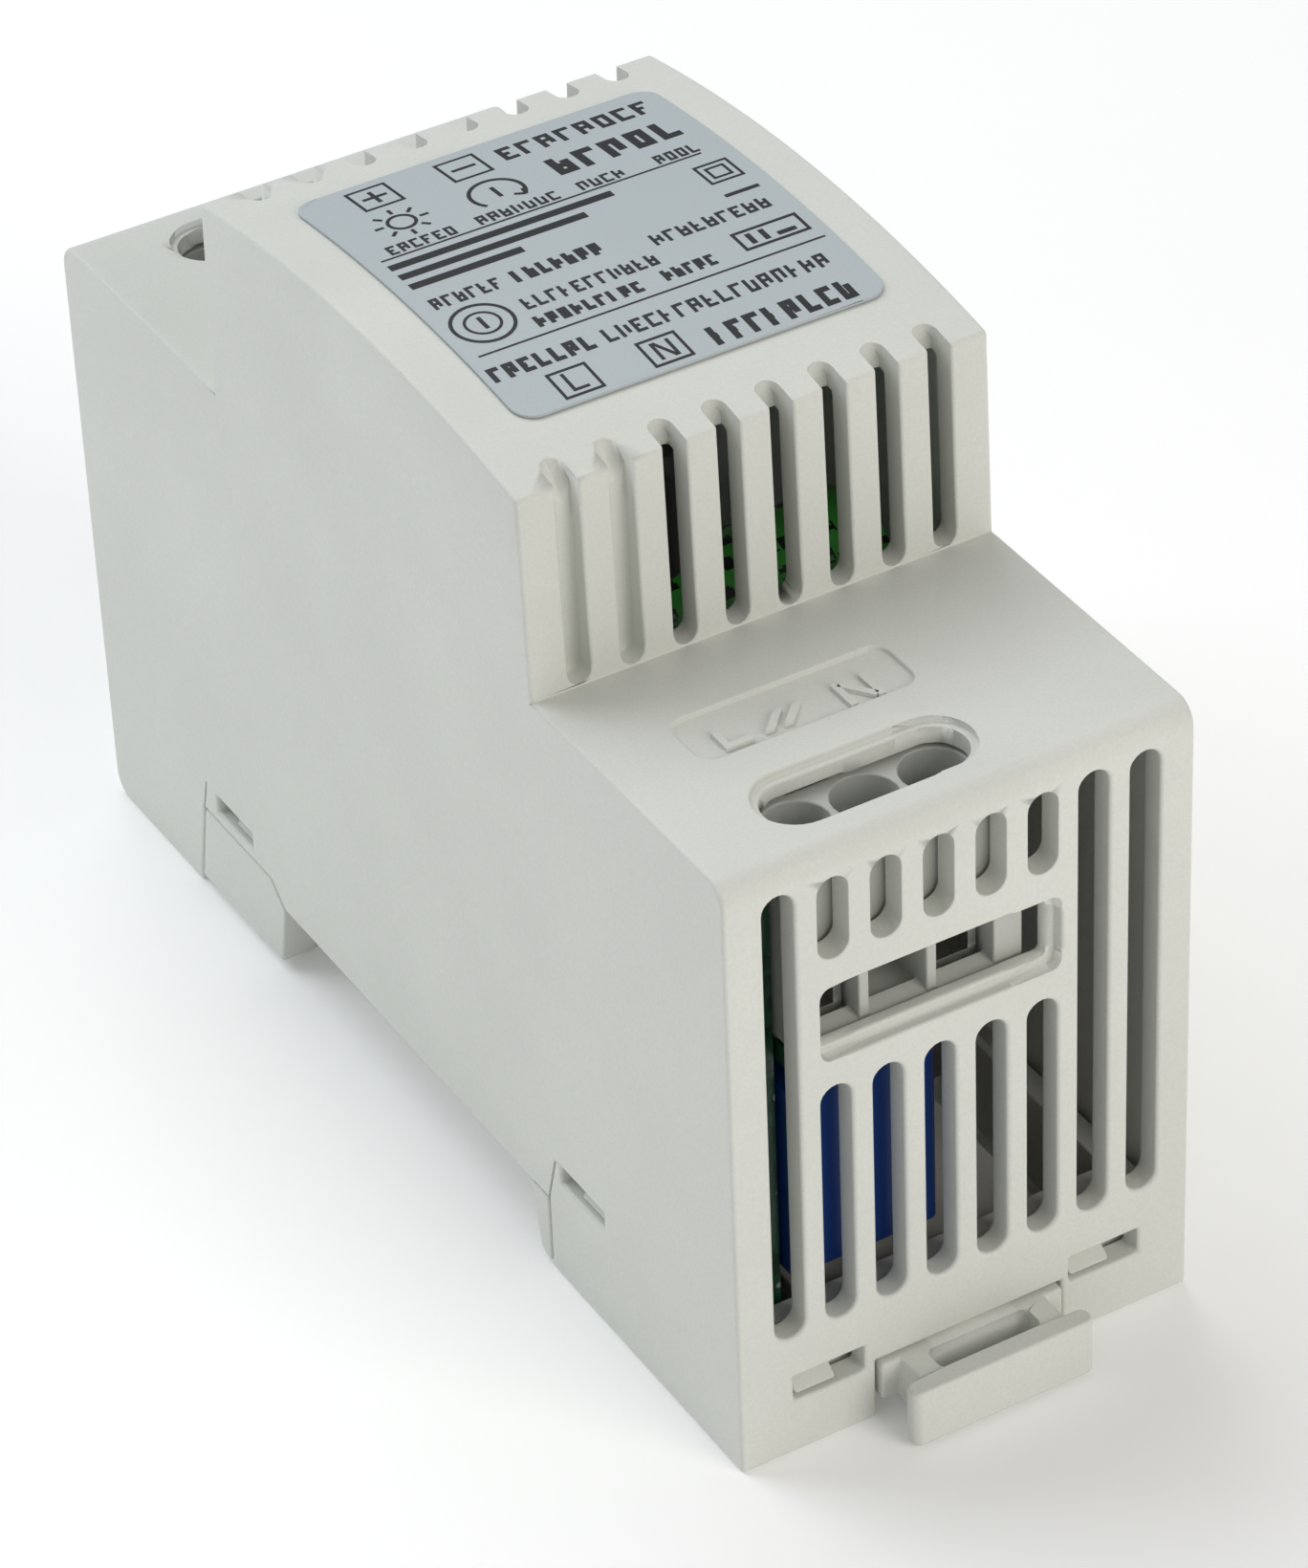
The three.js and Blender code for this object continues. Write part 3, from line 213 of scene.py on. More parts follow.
# Shrunk plastic sleeve with rows of printing round it.
def sleeve(name, base, ink, centre, radius):
    g = Graph(name, Coat_Weight=0.25, Coat_Roughness=0.15)
    spot = g.place()
    across, up = g.axis("Y", spot) - centre[0], g.axis("Z", spot) - centre[1]
    angle = g.maths("ARCTAN2", up, across)
    along = g.axis("X", spot)
    text = printing(g, along, angle * radius, 1.1 * mm, 2.1 * mm, 0.55)
    tone = g.blend(g.ramp(g.noise(5 * mm, 3), 0.35, 0.65), base, shade(base, 0.86))
    g.paint("Base Color", g.blend(text, tone, ink))
    g.paint("Roughness", g.noise(1.5 * mm, 3) * 0.15 + 0.28)
    g.bump(g.noise(1.2 * mm, 2), 0.03 * mm, 0.4)
    return g.material


# Green board: traces raised under the solder mask along the contours of a slow noise, with tinned pads.
def laminate(name, base):
    g = Graph(name, Coat_Weight=0.3, Coat_Roughness=0.2)
    spot = g.place()
    path = g.noise(9 * mm, 1, spot)
    trace = g.ramp(g.maths("ABSOLUTE", g.maths("SINE", path * 40, 0), 0), 0.75, 0.85)
    cells = g.add("ShaderNodeTexVoronoi", None, {"Vector": spot, "Scale": 1 / (3.2 * mm)}, "Distance")
    pad = g.ramp(cells, 0.17, 0.14)
    weave = g.noise(0.5 * mm, 2, spot)
    green = g.blend(trace, base, shade(base, 1.7))
    g.paint("Base Color", g.blend(pad, green, colour(186, 188, 184)))
    g.paint("Roughness", weave * 0.15 + 0.3)
    g.bump(trace + pad + weave * 0.2, 0.04 * mm, 0.8)
    return g.material


# Enamelled wire: colour darkened in random patches, partly painted shade standing for where neighbouring turns
# meet, partly small changes of tone from turn to turn.
def wire(name, base):
    g = Graph(name, Metallic=0.85, Coat_Weight=0.5, Coat_Roughness=0.12)
    # painted shade between turns mixed with random tone: noise patches darkened towards 0.62 of the base
    # colour
    tone = g.ramp(g.noise(1.4 * mm, 3), 0.3, 0.7)
    g.paint("Base Color", g.blend(tone, base, shade(base, 0.62)))
    g.paint("Roughness", g.noise(0.6 * mm, 2) * 0.2 + 0.22)
    g.bump(g.noise(0.4 * mm, 2), 0.01 * mm, 0.5)
    return g.material


# Wound plastic tape: a thin line for every layer's edge.
def tape(name, base):
    g = Graph(name, Coat_Weight=0.4, Coat_Roughness=0.2)
    edge = g.ramp(g.maths("SINE", g.axis("X") * (2 * math.pi / (2.6 * mm)), 0), 0.93, 0.99)
    tone = g.blend(g.noise(3 * mm, 3), base, shade(base, 0.82))
    g.paint("Base Color", g.blend(edge, tone, shade(base, 0.6)))
    g.paint("Roughness", g.noise(2 * mm, 2) * 0.15 + 0.25)
    g.bump(edge, 0.03 * mm, 0.6)
    return g.material


# Tinted clear lens: darker towards its foot, faintly cloudy.
def lens(name, base):
    g = Graph(name, Transmission_Weight=0.55, IOR=1.5)
    rise = g.ramp(g.axis("Z"), 31 * mm, 48.6 * mm)
    g.paint("Base Color", g.blend(rise, shade(base, 0.6), base))
    g.paint("Roughness", g.noise(1.5 * mm, 3) * 0.12 + 0.12)
    g.bump(g.noise(1.0 * mm, 2), 0.01 * mm, 0.4)
    return g.material


# Satin polyester film: very fine grain and a slow change of tone.
def film(name, base):
    g = Graph(name, Coat_Weight=0.1, Coat_Roughness=0.4)
    tone = g.blend(g.ramp(g.noise(16 * mm, 2), 0.35, 0.65), shade(base, 0.98), shade(base, 1.02))
    g.paint("Base Color", g.blend(g.ramp(g.noise(0.15 * mm, 1), 0.3, 0.8), tone, shade(base, 0.95)))
    g.paint("Roughness", g.noise(1.0 * mm, 3) * 0.1 + 0.42)
    g.bump(g.noise(0.18 * mm, 2), 0.006 * mm, 0.5)
    return g.material


bulkCan = {"centre": (-10.5 * mm, 41.5 * mm), "radius": 6.25 * mm}
outputCan = {"centre": (28 * mm, 14.6 * mm), "radius": 5 * mm}
looks = {
    "housing_plastic": moulded("grey_housing", colour(217, 219, 212), fleck=0.06),
    "terminal_plastic": moulded("grey_terminal", colour(188, 190, 184), roughness=0.55),
    "black_moulding": moulded("black_epoxy", colour(40, 40, 42), 0.3, 0.02, 0.5, 0.12, 0.05),
    "film_capacitor_box": moulded("blue_box", colour(24, 62, 132), 0.3, 0.01, 0.34, 0.06, 0.02),
    "trimmer_plastic": moulded("blue_trimmer", colour(36, 82, 170), 0.3, 0.01, 0.4),
    "trimmer_rotor_plastic": moulded("white_rotor", colour(232, 230, 220), 0.3, 0.01, 0.4),
    "disc_coating": moulded("blue_coating", colour(30, 88, 150), 0.9, 0.05, 0.3, 0.1, 0.02),
    "ferrite": moulded("grey_ferrite", colour(58, 56, 56), 0.35, 0.03, 0.65, 0.15, 0.08),
    "spring_steel": metal("drawn_spring", colour(176, 176, 172), 0.3),
    "zinc_plated_steel": metal("zinc_plate", colour(206, 208, 206), 0.3),
    "tinned_copper": metal("tin_plate", colour(204, 200, 192), 0.38),
    "heat_sink_aluminium": metal("rolled_aluminium", colour(188, 190, 192), 0.42, (1, 1, 0.08)),
    "enamelled_copper": wire("copper_wire", colour(196, 104, 52)),
    "winding_tape": tape("yellow_tape", colour(222, 184, 62)),
    "board_laminate": laminate("green_laminate", colour(18, 60, 40)),
    "green_sleeve": sleeve("green_sleeve_film", colour(60, 160, 62), colour(18, 26, 20), **bulkCan),
    "dark_sleeve": sleeve("dark_sleeve_film", colour(30, 34, 60), colour(200, 204, 206), **outputCan),
    "lamp_lens": lens("green_lens", colour(70, 190, 84)),
    "label_film": film("label_sheet", colour(180, 189, 192)),
    "label_ink": moulded("black_ink", colour(24, 26, 32), 0.12, 0.002, 0.45, 0.1, 0.05),
}
slotOf = {name: node.data.materials[0].name for name, node in frame["nodes"].items()}
for name, node in frame["nodes"].items():
    node.data.materials.clear()
    node.data.materials.append(looks[slotOf[name]])
print("materials:", len(looks))


# Corner numbers of the quads between neighbouring rows and columns of a grid.
def gridFaces(rows, columns, wrapRows=False, wrapColumns=False):
    r = np.arange(rows if wrapRows else rows - 1)
    c = np.arange(columns if wrapColumns else columns - 1)
    a, b = np.meshgrid(r, c, indexing="ij")
    a2, b2 = (a + 1) % rows, (b + 1) % columns
    corners = [a * columns + b, a2 * columns + b, a2 * columns + b2, a * columns + b2]
    return np.stack(corners, -1).reshape(-1, 4)


def finishPiece(piece, material, body, slot, replaces=()):
    piece.data.materials.clear()
    piece.data.materials.append(material)
    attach(piece, body)
    if replaces:
        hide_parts(*replaces)
    return piece


def objectFrom(name, mesh):
    piece = bpy.data.objects.new(name, mesh)
    bpy.context.scene.collection.objects.link(piece)
    return piece


# Puts the result of a piece's modifiers into its mesh.
def settle(piece):
    graph = bpy.context.evaluated_depsgraph_get()
    mesh = bpy.data.meshes.new_from_object(piece.evaluated_get(graph))
    piece.modifiers.clear()
    piece.data = mesh


# Ends of the edges whose faces meet at more than a limit, as an array of (edge, end, xyz) and their numbers.
def sharpEdges(work, limit, fillets=True):
    found = [e for e in work.edges if len(e.link_faces) == 2 and e.calc_face_angle(0) > math.radians(limit)]
    found = [e for e in found if fillets or e.is_convex]
    work.edges.index_update()
    ends = np.array([[v.co for v in e.verts] for e in found], float).reshape(-1, 2, 3)
    return ends, np.array([e.index for e in found], int)


# Places for the cutting planes of one axis: a pitch apart, each moved clear of the edges beside it.
def clearPlanes(ends, axis, low, high, pitch, start):
    along = np.abs(ends[:, 0, axis] - ends[:, 1, axis]) < 0.002 * mm
    levels = np.unique(np.round(ends[along][:, 0, axis], 6))
    count = np.arange(math.ceil((low - start) / pitch), math.floor((high - start) / pitch) + 1)
    shifts = np.arange(-1.2, 1.21, 0.05) * mm
    spots = start + count[:, None] * pitch + shifts
    room = np.abs(spots[..., None] - levels).min(-1) if len(levels) else np.ones(spots.shape)
    best = (np.minimum(room, 0.8 * mm) - 0.1 * np.abs(shifts)).argmax(1)
    return spots[np.arange(len(count)), best]


# Share of the full rounding that each edge can take: less where another edge runs beside it.
def edgeRoom(ends, width):
    middle = ends.mean(1)
    run = ends[:, 1] - ends[:, 0]
    length = np.linalg.norm(run, axis=1)
    share = np.ones(len(ends))
    for part in np.array_split(np.arange(len(ends)), max(1, len(ends) // 200)):
        away = middle[part][:, None] - ends[None, :, 0]
        t = np.clip((away * run).sum(-1) / np.maximum(length**2, 1e-18), 0, 1)
        gap = ends[None, :, 0] + t[..., None] * run - middle[part][:, None]
        far = np.linalg.norm(gap, axis=-1)
        slant = np.abs((gap * run[part][:, None]).sum(-1)) / np.maximum(far * length[part][:, None], 1e-18)
        far[(far < 1e-6) | (slant > 0.35)] = 1
        share[part] = np.clip(0.42 * far.min(1) / width, 0.02, 1)
    return share


# A copy of a CAD node with its loose triangles merged and every sharp edge rounded. It is first cut into cells
# by planes a pitch apart, so that no flat face is left with a hole in it, and each cell becomes one face.
def softCopy(node, name, width, segments=2, limit=32, pitch=(3.9, 4, 4), start=(0.15, 0, 0), ceiling=62.5):
    mesh = frame["nodes"][node].data.copy()
    mesh.name = name
    low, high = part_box(node)
    high = (high[0], high[1], min(high[2], ceiling * mm))
    work = bmesh.new()
    work.from_mesh(mesh)
    bmesh.ops.remove_doubles(work, verts=work.verts, dist=0.002 * mm)
    ends, numbers = sharpEdges(work, limit)
    near = 0.004 * mm
    for axis in range(3):
        normal = Vector([float(i == axis) for i in range(3)])
        for spot in clearPlanes(ends, axis, low[axis], high[axis], pitch[axis] * mm, start[axis] * mm):
            parts = work.verts[:] + work.edges[:] + work.faces[:]
            place = normal * spot
            cut = bmesh.ops.bisect_plane(work, geom=parts, dist=near, plane_co=place, plane_no=normal)
            for part in cut["geom_cut"]:
                if isinstance(part, bmesh.types.BMEdge):
                    part.seam = True
    flat = math.radians(0.6)
    bmesh.ops.dissolve_limit(work, angle_limit=flat, verts=work.verts, edges=work.edges, delimit={"SEAM"})
    ends, numbers = sharpEdges(work, limit, width > 0.1)
    work.to_mesh(mesh)
    work.free()
    weights = np.zeros(len(mesh.edges), np.float32)
    weights[numbers] = edgeRoom(ends, width * mm)
    mesh.attributes.new("bevel_weight_edge", "FLOAT", "EDGE")
    mesh.shade_smooth()
    piece = objectFrom(name, mesh)
    bevel = piece.modifiers.new("round", "BEVEL")
    bevel.limit_method = "WEIGHT"
    bevel.width = width * mm
    bevel.segments = segments
    bevel.use_clamp_overlap = False
    smooth = piece.modifiers.new("normals", "WEIGHTED_NORMAL")
    smooth.keep_sharp = True
    for keep in (0.4, 0.15, 0, 0, 0):
        mesh.attributes["bevel_weight_edge"].data.foreach_set("value", weights)
        mesh.update()
        folds = foldSpots(piece, width * mm)
        if len(folds) == 0:
            break
        for part in np.array_split(np.arange(len(ends)), max(1, len(ends) // 300)):
            away = np.linalg.norm(ends[part][:, :, None] - folds[None, None], axis=-1).min(-1).min(-1)
            weights[numbers[part[away < 0.9 * mm]]] *= keep
    settle(piece)
    piece.data.set_sharp_from_angle(angle=math.radians(50))
    return piece


# Middles of the edges where a rounded surface has folded back over itself, leaving out the tiniest.
def foldSpots(piece, width):
    mesh = piece.evaluated_get(bpy.context.evaluated_depsgraph_get()).to_mesh()
    work = bmesh.new()
    work.from_mesh(mesh)
    least = 0.04 * width * width
    spots = [
        tuple((e.verts[0].co + e.verts[1].co) / 2)
        for e in work.edges
        if len(e.link_faces) == 2
        and e.calc_face_angle(0) > math.radians(120)
        and min(f.calc_area() for f in e.link_faces) > least
    ]
    work.free()
    return np.array(spots, float).reshape(-1, 3)


# Each node keeps its shape and gets rounded edges: widths in millimetres.
rounding = {
    "cover": 0.3, "base": 0.2, "rail_latch": 0.25, "rating_label": 0.06,
    "input_terminal_block": 0.15, "output_terminal_block": 0.15,
    "interference_capacitor": 0.3, "bridge_rectifier": 0.2, "switching_transistor": 0.15,
    "output_rectifier": 0.15, "controller_chip": 0.12, "optocoupler": 0.12, "choke_core": 0.25,
    "transformer_core_inner": 0.25, "transformer_core_outer": 0.25, "transformer_bobbin": 0.12,
    "transformer_tape": 0.3, "trimmer_body": 0.2, "trimmer_rotor": 0.1,
    "primary_heat_sink": 0.12, "output_heat_sink": 0.12,
    "line_clamp_screw": 0.08, "neutral_clamp_screw": 0.08,
    "plus_clamp_screw": 0.08, "minus_clamp_screw": 0.08,
}
for node, width in rounding.items():
    piece = softCopy(node, node + "_rounded", width, 3 if node == "cover" else 2)
    body = frame["nodes"][node]["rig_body"]
    finishPiece(piece, looks[slotOf[node]], body, slotOf[node], [node])
print("rounded copies:", len(rounding))


# Surface of a profile of (along, radius) pairs turned about a line along X.
def turned(name, profile, centre, segments=96):
    along, radius = np.array(profile, float).T
    angle = np.arange(segments) * 2 * np.pi / segments
    grid = np.stack(np.broadcast_arrays(
        along[:, None],
        centre[0] + radius[:, None] * np.cos(angle),
        centre[1] + radius[:, None] * np.sin(angle),
    ), -1)
    mesh = bpy.data.meshes.new(name)
    faces = gridFaces(len(along), segments, False, True).tolist()
    mesh.from_pydata((grid.reshape(-1, 3) * mm).tolist(), [], faces)
    work = bmesh.new()
    work.from_mesh(mesh)
    bmesh.ops.remove_doubles(work, verts=work.verts, dist=0.002 * mm)
    bmesh.ops.recalc_face_normals(work, faces=work.faces)
    work.to_mesh(mesh)
    work.free()
    mesh.shade_smooth()
    mesh.set_sharp_from_angle(angle=math.radians(40))
    return objectFrom(name, mesh)


# Quarter of a circle between two directions, as (along, radius) pairs.
def bend(along, radius, size, first, last, steps=6):
    turn = np.radians(np.linspace(first, last, steps + 1))
    return [(along + size * math.cos(t), radius + size * math.sin(t)) for t in turn]


# An electrolytic can: rubber foot, crimp groove, sleeve shrunk over the rim, bare end pressed into a dish.
def can(node, low, high, radius, centre):
    foot = [(low, 0), (low, radius - 0.5)] + bend(low + 0.4, radius - 0.4, 0.4, 180, 90)
    crimp = [(low + 1.9 + 0.06 * k, radius - 0.45 * math.sin(math.pi * k / 16) ** 2) for k in range(17)]
    rim = bend(high - 0.6, radius - 0.6, 0.6, 90, 0)
    rim += [(high - 0.02, radius - 1.1), (high - 0.25, radius - 1.2)]
    piece = turned(node + "_can", foot + crimp + rim + [(high - 0.3, 0)], centre)
    finishPiece(piece, looks[slotOf[node]], "housing", slotOf[node], [node])
    dish = bend(high - 0.28, radius - 1.5, 0.15, 90, 0) + [(high - 0.16, radius - 2.4), (high - 0.2, 0)]
    end = turned(node + "_end", [(high - 0.32, 0), (high - 0.32, radius - 1.35)] + dish, centre)
    finishPiece(end, looks["heat_sink_aluminium"], "housing", "heat_sink_aluminium")


for node in ("bulk_capacitor", "output_capacitor_inner", "output_capacitor_outer"):
    low, high = (np.array(p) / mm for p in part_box(node))
    can(node, low[0], high[0], (high[1] - low[1]) / 2, ((low[1] + high[1]) / 2, (low[2] + high[2]) / 2))


# A node's mesh made of a grid of points: a tube along a path, with its two ends closed.
def tubeFrom(name, grid):
    rows, sides = grid.shape[:2]
    faces = gridFaces(rows, sides, False, True).tolist()
    faces += [list(range(sides)), list(range(rows * sides - 1, (rows - 1) * sides - 1, -1))]
    mesh = bpy.data.meshes.new(name)
    mesh.from_pydata(grid.reshape(-1, 3).tolist(), [], faces)
    work = bmesh.new()
    work.from_mesh(mesh)
    bmesh.ops.recalc_face_normals(work, faces=work.faces)
    work.to_mesh(mesh)
    work.free()
    mesh.shade_smooth()
    return objectFrom(name, mesh)


# Wire wound on a form along X: a tube whose middle runs round and forward by one wire's width a turn.
def winding(node, wireSize, steps=40, sides=8):
    low, high = (np.array(p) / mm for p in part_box(node))
    radius = min(high[1] - low[1], high[2] - low[2]) / 2 - wireSize / 2
    turns = int((high[0] - low[0] - wireSize) / (wireSize * 1.03))
    t = np.linspace(0, turns * 2 * np.pi, turns * steps + 1)[:, None]
    across = np.linspace(0, 2 * np.pi, sides, endpoint=False)
    reach = radius + wireSize / 2 * np.cos(across)
    forward = np.linspace(low[0] + wireSize / 2, high[0] - wireSize / 2, len(t))[:, None]
    along = forward + wireSize / 2 * np.sin(across)
    middle = (low + high) / 2
    grid = np.stack([along, middle[1] + reach * np.cos(t), middle[2] + reach * np.sin(t)], -1) * mm
    piece = tubeFrom(node + "_wire", grid)
    finishPiece(piece, looks["enamelled_copper"], "housing", "enamelled_copper", [node])


wires = {"choke_winding_lower": 0.7, "choke_winding_upper": 0.7, "filter_inductor_winding": 0.8}
for node, wireSize in wires.items():
    winding(node, wireSize)

# The latch spring: a wire that runs round and forward, slower at both ends where its turns lie closed.
spring = {"wire": 0.42, "turns": 9.0, "closed": 1.2, "steps": 40, "sides": 12, "keep": 0.655}
low, high = (np.array(p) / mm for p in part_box("latch_spring"))
middle, reach = (low + high) / 2, (high[0] - low[0] - spring["wire"]) / 2
t = np.linspace(0, 1, int(spring["turns"] * spring["steps"]) + 1)[:, None]
share = spring["closed"] / spring["turns"]
pace = np.clip(np.minimum(t, 1 - t) / share, 0.32, 1)
forward = np.concatenate([[[0]], np.cumsum((pace[1:] + pace[:-1]) / 2, 0)])
forward = low[1] + spring["wire"] / 2 + forward / forward[-1] * (high[1] - low[1] - spring["wire"])
turn = t * spring["turns"] * 2 * np.pi
across = np.linspace(0, 2 * np.pi, spring["sides"], endpoint=False)
away = reach + spring["wire"] / 2 * np.cos(across)
along = forward + spring["wire"] / 2 * np.sin(across)
grid = np.stack([middle[0] + away * np.cos(turn), along, middle[2] + away * np.sin(turn)], -1) * mm
coil = tubeFrom("latch_spring_coil", grid)
finishPiece(coil, looks["spring_steel"], "housing", "spring_steel", ["latch_spring"])
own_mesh(coil)
print("turned and wound parts")


# Four-cornered patches as thin slabs between two heights, each corner's height following a rule of its Y.
def slabs(name, patches, heightAt, low, high):
    corners = np.array(patches, float)
    ring = np.concatenate([corners, corners], 1)
    lift = np.repeat([low, high], 4)
    height = heightAt(ring[..., 1]) + lift
    points = np.stack([ring[..., 0], ring[..., 1], height], -1)
    sides = np.array([[3, 2, 1, 0], [4, 5, 6, 7], [0, 1, 5, 4], [1, 2, 6, 5], [2, 3, 7, 6], [3, 0, 4, 7]])
    faces = (np.arange(len(corners))[:, None, None] * 8 + sides).reshape(-1, 4)
    mesh = bpy.data.meshes.new(name)
    mesh.from_pydata((points.reshape(-1, 3) * mm).tolist(), [], faces.tolist())
    work = bmesh.new()
    work.from_mesh(mesh)
    bmesh.ops.recalc_face_normals(work, faces=work.faces)
    work.to_mesh(mesh)
    work.free()
    return objectFrom(name, mesh)


def bar(x0, x1, y0, y1):
    return [(x0, y0), (x1, y0), (x1, y1), (x0, y1)]


def stroke(x0, y0, x1, y1, wide):
    length = math.hypot(x1 - x0, y1 - y0)
    dx, dy = -(y1 - y0) / length * wide / 2, (x1 - x0) / length * wide / 2
    return [(x0 - dx, y0 - dy), (x1 - dx, y1 - dy), (x1 + dx, y1 + dy), (x0 + dx, y0 + dy)]


# Part of a ring, cut into short straight patches.
def ring(x, y, radius, wide, first=0, last=360, steps=36):
    turn = np.radians(np.linspace(first, last, steps + 1))
    near, far = radius - wide / 2, radius + wide / 2
    inner = [tuple(p) for p in np.stack([x + near * np.cos(turn), y + near * np.sin(turn)], -1)]
    outer = [tuple(p) for p in np.stack([x + far * np.cos(turn), y + far * np.sin(turn)], -1)]
    return [[outer[i], outer[i + 1], inner[i + 1], inner[i]] for i in range(steps)]


def frameBox(x, y, width, height, wide=0.22):
    x0, x1, y0, y1 = x - width / 2, x + width / 2, y - height / 2, y + height / 2
    return [bar(x0, x1, y1 - wide, y1), bar(x0, x1, y0, y0 + wide),
            bar(x0, x0 + wide, y0 + wide, y1 - wide), bar(x1 - wide, x1, y0 + wide, y1 - wide)]


# A word of made-up letters that fill a span: every letter takes two to four strokes of a small set at random.
def word(rng, x0, x1, y, height, bold=0.16):
    wide = height * bold * 1.25
    count = max(1, round((x1 - x0) / (height * 0.74)))
    pitch = (x1 - x0) / count
    width = pitch * 0.74
    found = []
    for i in range(count):
        left, low = x0 + i * pitch, y - height / 2
        right, top, middle = left + width, low + height, y
        stem = bar(left, left + wide, low, top)
        choices = [
            bar(left + wide, right, top - wide, top),
            bar(left + wide, right, low, low + wide),
            bar(left + wide, right - wide, middle - wide / 2, middle + wide / 2),
            bar(right - wide, right, low + wide, top - wide),
        ]
        picks = rng.permutation(4)[: rng.integers(1, 4)]
        found += [stem] + [choices[k] for k in picks]
    return found


labelTop = {"radius": (21.2**2 + 1.9**2) / 3.8, "top": 65.56, "shift": 2.2}


def labelHeight(y):
    radius = labelTop["radius"]
    return labelTop["top"] - radius + np.sqrt(radius**2 - (y - labelTop["shift"]) ** 2)


# Rows of made-up words: start, end, middle height, letter height, boldness.
words = [
    (1.1, 13.0, 13.2, 1.9, 0.16),
    (2.9, 12.9, 9.3, 2.5, 0.2),
    (-11.4, -6.2, 5.95, 1.15, 0.15),
    (-4.7, 1.6, 5.95, 1.15, 0.15),
    (3.0, 6.6, 5.95, 1.15, 0.15),
    (8.9, 12.3, 5.95, 1.15, 0.15),
    (-12.3, -7.0, -1.5, 1.3, 0.15),
    (-6.3, 0.5, -1.5, 1.4, 0.22),
    (3.5, 12.6, -2.7, 1.3, 0.15),
    (-7.3, 2.9, -4.6, 1.3, 0.15),
    (-7.6, 0.5, -6.75, 1.2, 0.22),
    (2.0, 6.1, -6.6, 1.2, 0.2),
    (-13.0, -5.2, -10.3, 1.5, 0.2),
    (-4.6, 12.4, -10.3, 1.4, 0.15),
    (1.3, 12.3, -13.7, 1.9, 0.2),
]


def labelPatches():
    rng = np.random.default_rng(7)
    # plus, minus, L and N, each in a box
    found = frameBox(-8.4, 13.3, 3.05, 3.2) + [bar(-9.3, -7.5, 13.15, 13.45)]
    found += [bar(-8.55, -8.25, 13.45, 14.2), bar(-8.55, -8.25, 12.4, 13.15)]
    found += frameBox(-1.7, 13.2, 3.05, 3.2) + [bar(-2.6, -0.8, 13.05, 13.35)]
    found += frameBox(-8.5, -13.3, 2.95, 2.8)
    found += [bar(-9.1, -8.85, -14.2, -12.3), bar(-8.85, -7.9, -14.2, -13.95)]
    found += frameBox(-1.9, -13.3, 2.95, 2.8)
    found += [bar(-2.6, -2.35, -14.2, -12.4), bar(-1.45, -1.2, -14.2, -12.4)]
    found += [stroke(-2.36, -12.42, -1.44, -14.18, 0.26)]
    # lamp with rays, then a knob with an arrow round it
    found += ring(-8.7, 9.0, 0.95, 0.25)
    for k in range(8):
        a = math.radians(45 * k)
        c, n = math.cos(a), math.sin(a)
        found.append(stroke(-8.7 + 1.35 * c, 9 + 1.35 * n, -8.7 + 2.0 * c, 9 + 2.0 * n, 0.25))
    found += ring(-1.7, 8.6, 1.9, 0.28, -40, 220)
    found += [stroke(-0.25, 7.38, -0.9, 7.75, 0.26), stroke(-0.2, 7.3, -0.1, 8.1, 0.26)]
    found += [stroke(-1.7, 8.0, -1.7, 9.5, 0.3)]
    for row in words:
        found += word(rng, *row)
    # dividing lines and three plain bars
    found += [bar(-12.4, 11.9, 4.98, 5.14), bar(-12.6, 13.4, -8.2, -8.04)]
    found += [bar(-12.4, 4.4, 3.6, 4.3), bar(-12.4, 1.6, 2.2, 2.9), bar(-12.4, -4.0, 0.8, 1.5)]
    # plain marks
    found += frameBox(11.6, 2.3, 2.6, 2.6, 0.2) + frameBox(11.6, 2.3, 1.5, 1.5, 0.2)
    found += [bar(10.3, 12.9, -0.85, -0.5)]
    found += ring(-10.5, -5.0, 2.1, 0.26) + ring(-10.5, -5.0, 1.2, 0.2)
    found += [bar(-10.65, -10.35, -5.7, -4.3)]
    found += frameBox(10.6, -5.9, 5.0, 2.2, 0.24) + [bar(8.9, 9.3, -6.5, -5.3)]
    found += [bar(9.9, 10.3, -6.5, -5.3), bar(10.9, 12.3, -6.5, -6.1)]
    return [[(x, y + labelTop["shift"]) for x, y in patch] for patch in found]


ink = slabs("label_print", labelPatches(), labelHeight, 0.004, 0.02)
finishPiece(ink, looks["label_ink"], "housing", "label_film")

marksTop = {"floor": 47.85, "rise": 0.33}


def markPatches():
    found = [bar(-9.6, -9.1, -32.6, -30.6), bar(-9.1, -7.5, -32.6, -32.1)]
    found += [bar(-0.6, -0.1, -33.0, -30.4), bar(1.5, 2.0, -33.0, -30.4)]
    found += [stroke(-0.1, -30.62, 1.5, -32.78, 0.5)]
    for x in (-6.6, -5.2):
        found += [[(x, -32.4), (x + 0.7, -32.4), (x + 2.2, -30.8), (x + 1.5, -30.8)]]
    return [[(x, y + labelTop["shift"]) for x, y in patch] for patch in found]


def marksFloor(y):
    return marksTop["floor"] + 0 * y


marks = slabs("raised_marks", markPatches(), marksFloor, 0.0, marksTop["rise"])
finishPiece(marks, looks["housing_plastic"], "housing", "housing_plastic")
print("label print and marks")


studio = {"floorTone": (250, 250, 249), "floorSize": 3.0, "skyTone": (250, 251, 252), "skyStrength": 0.34}


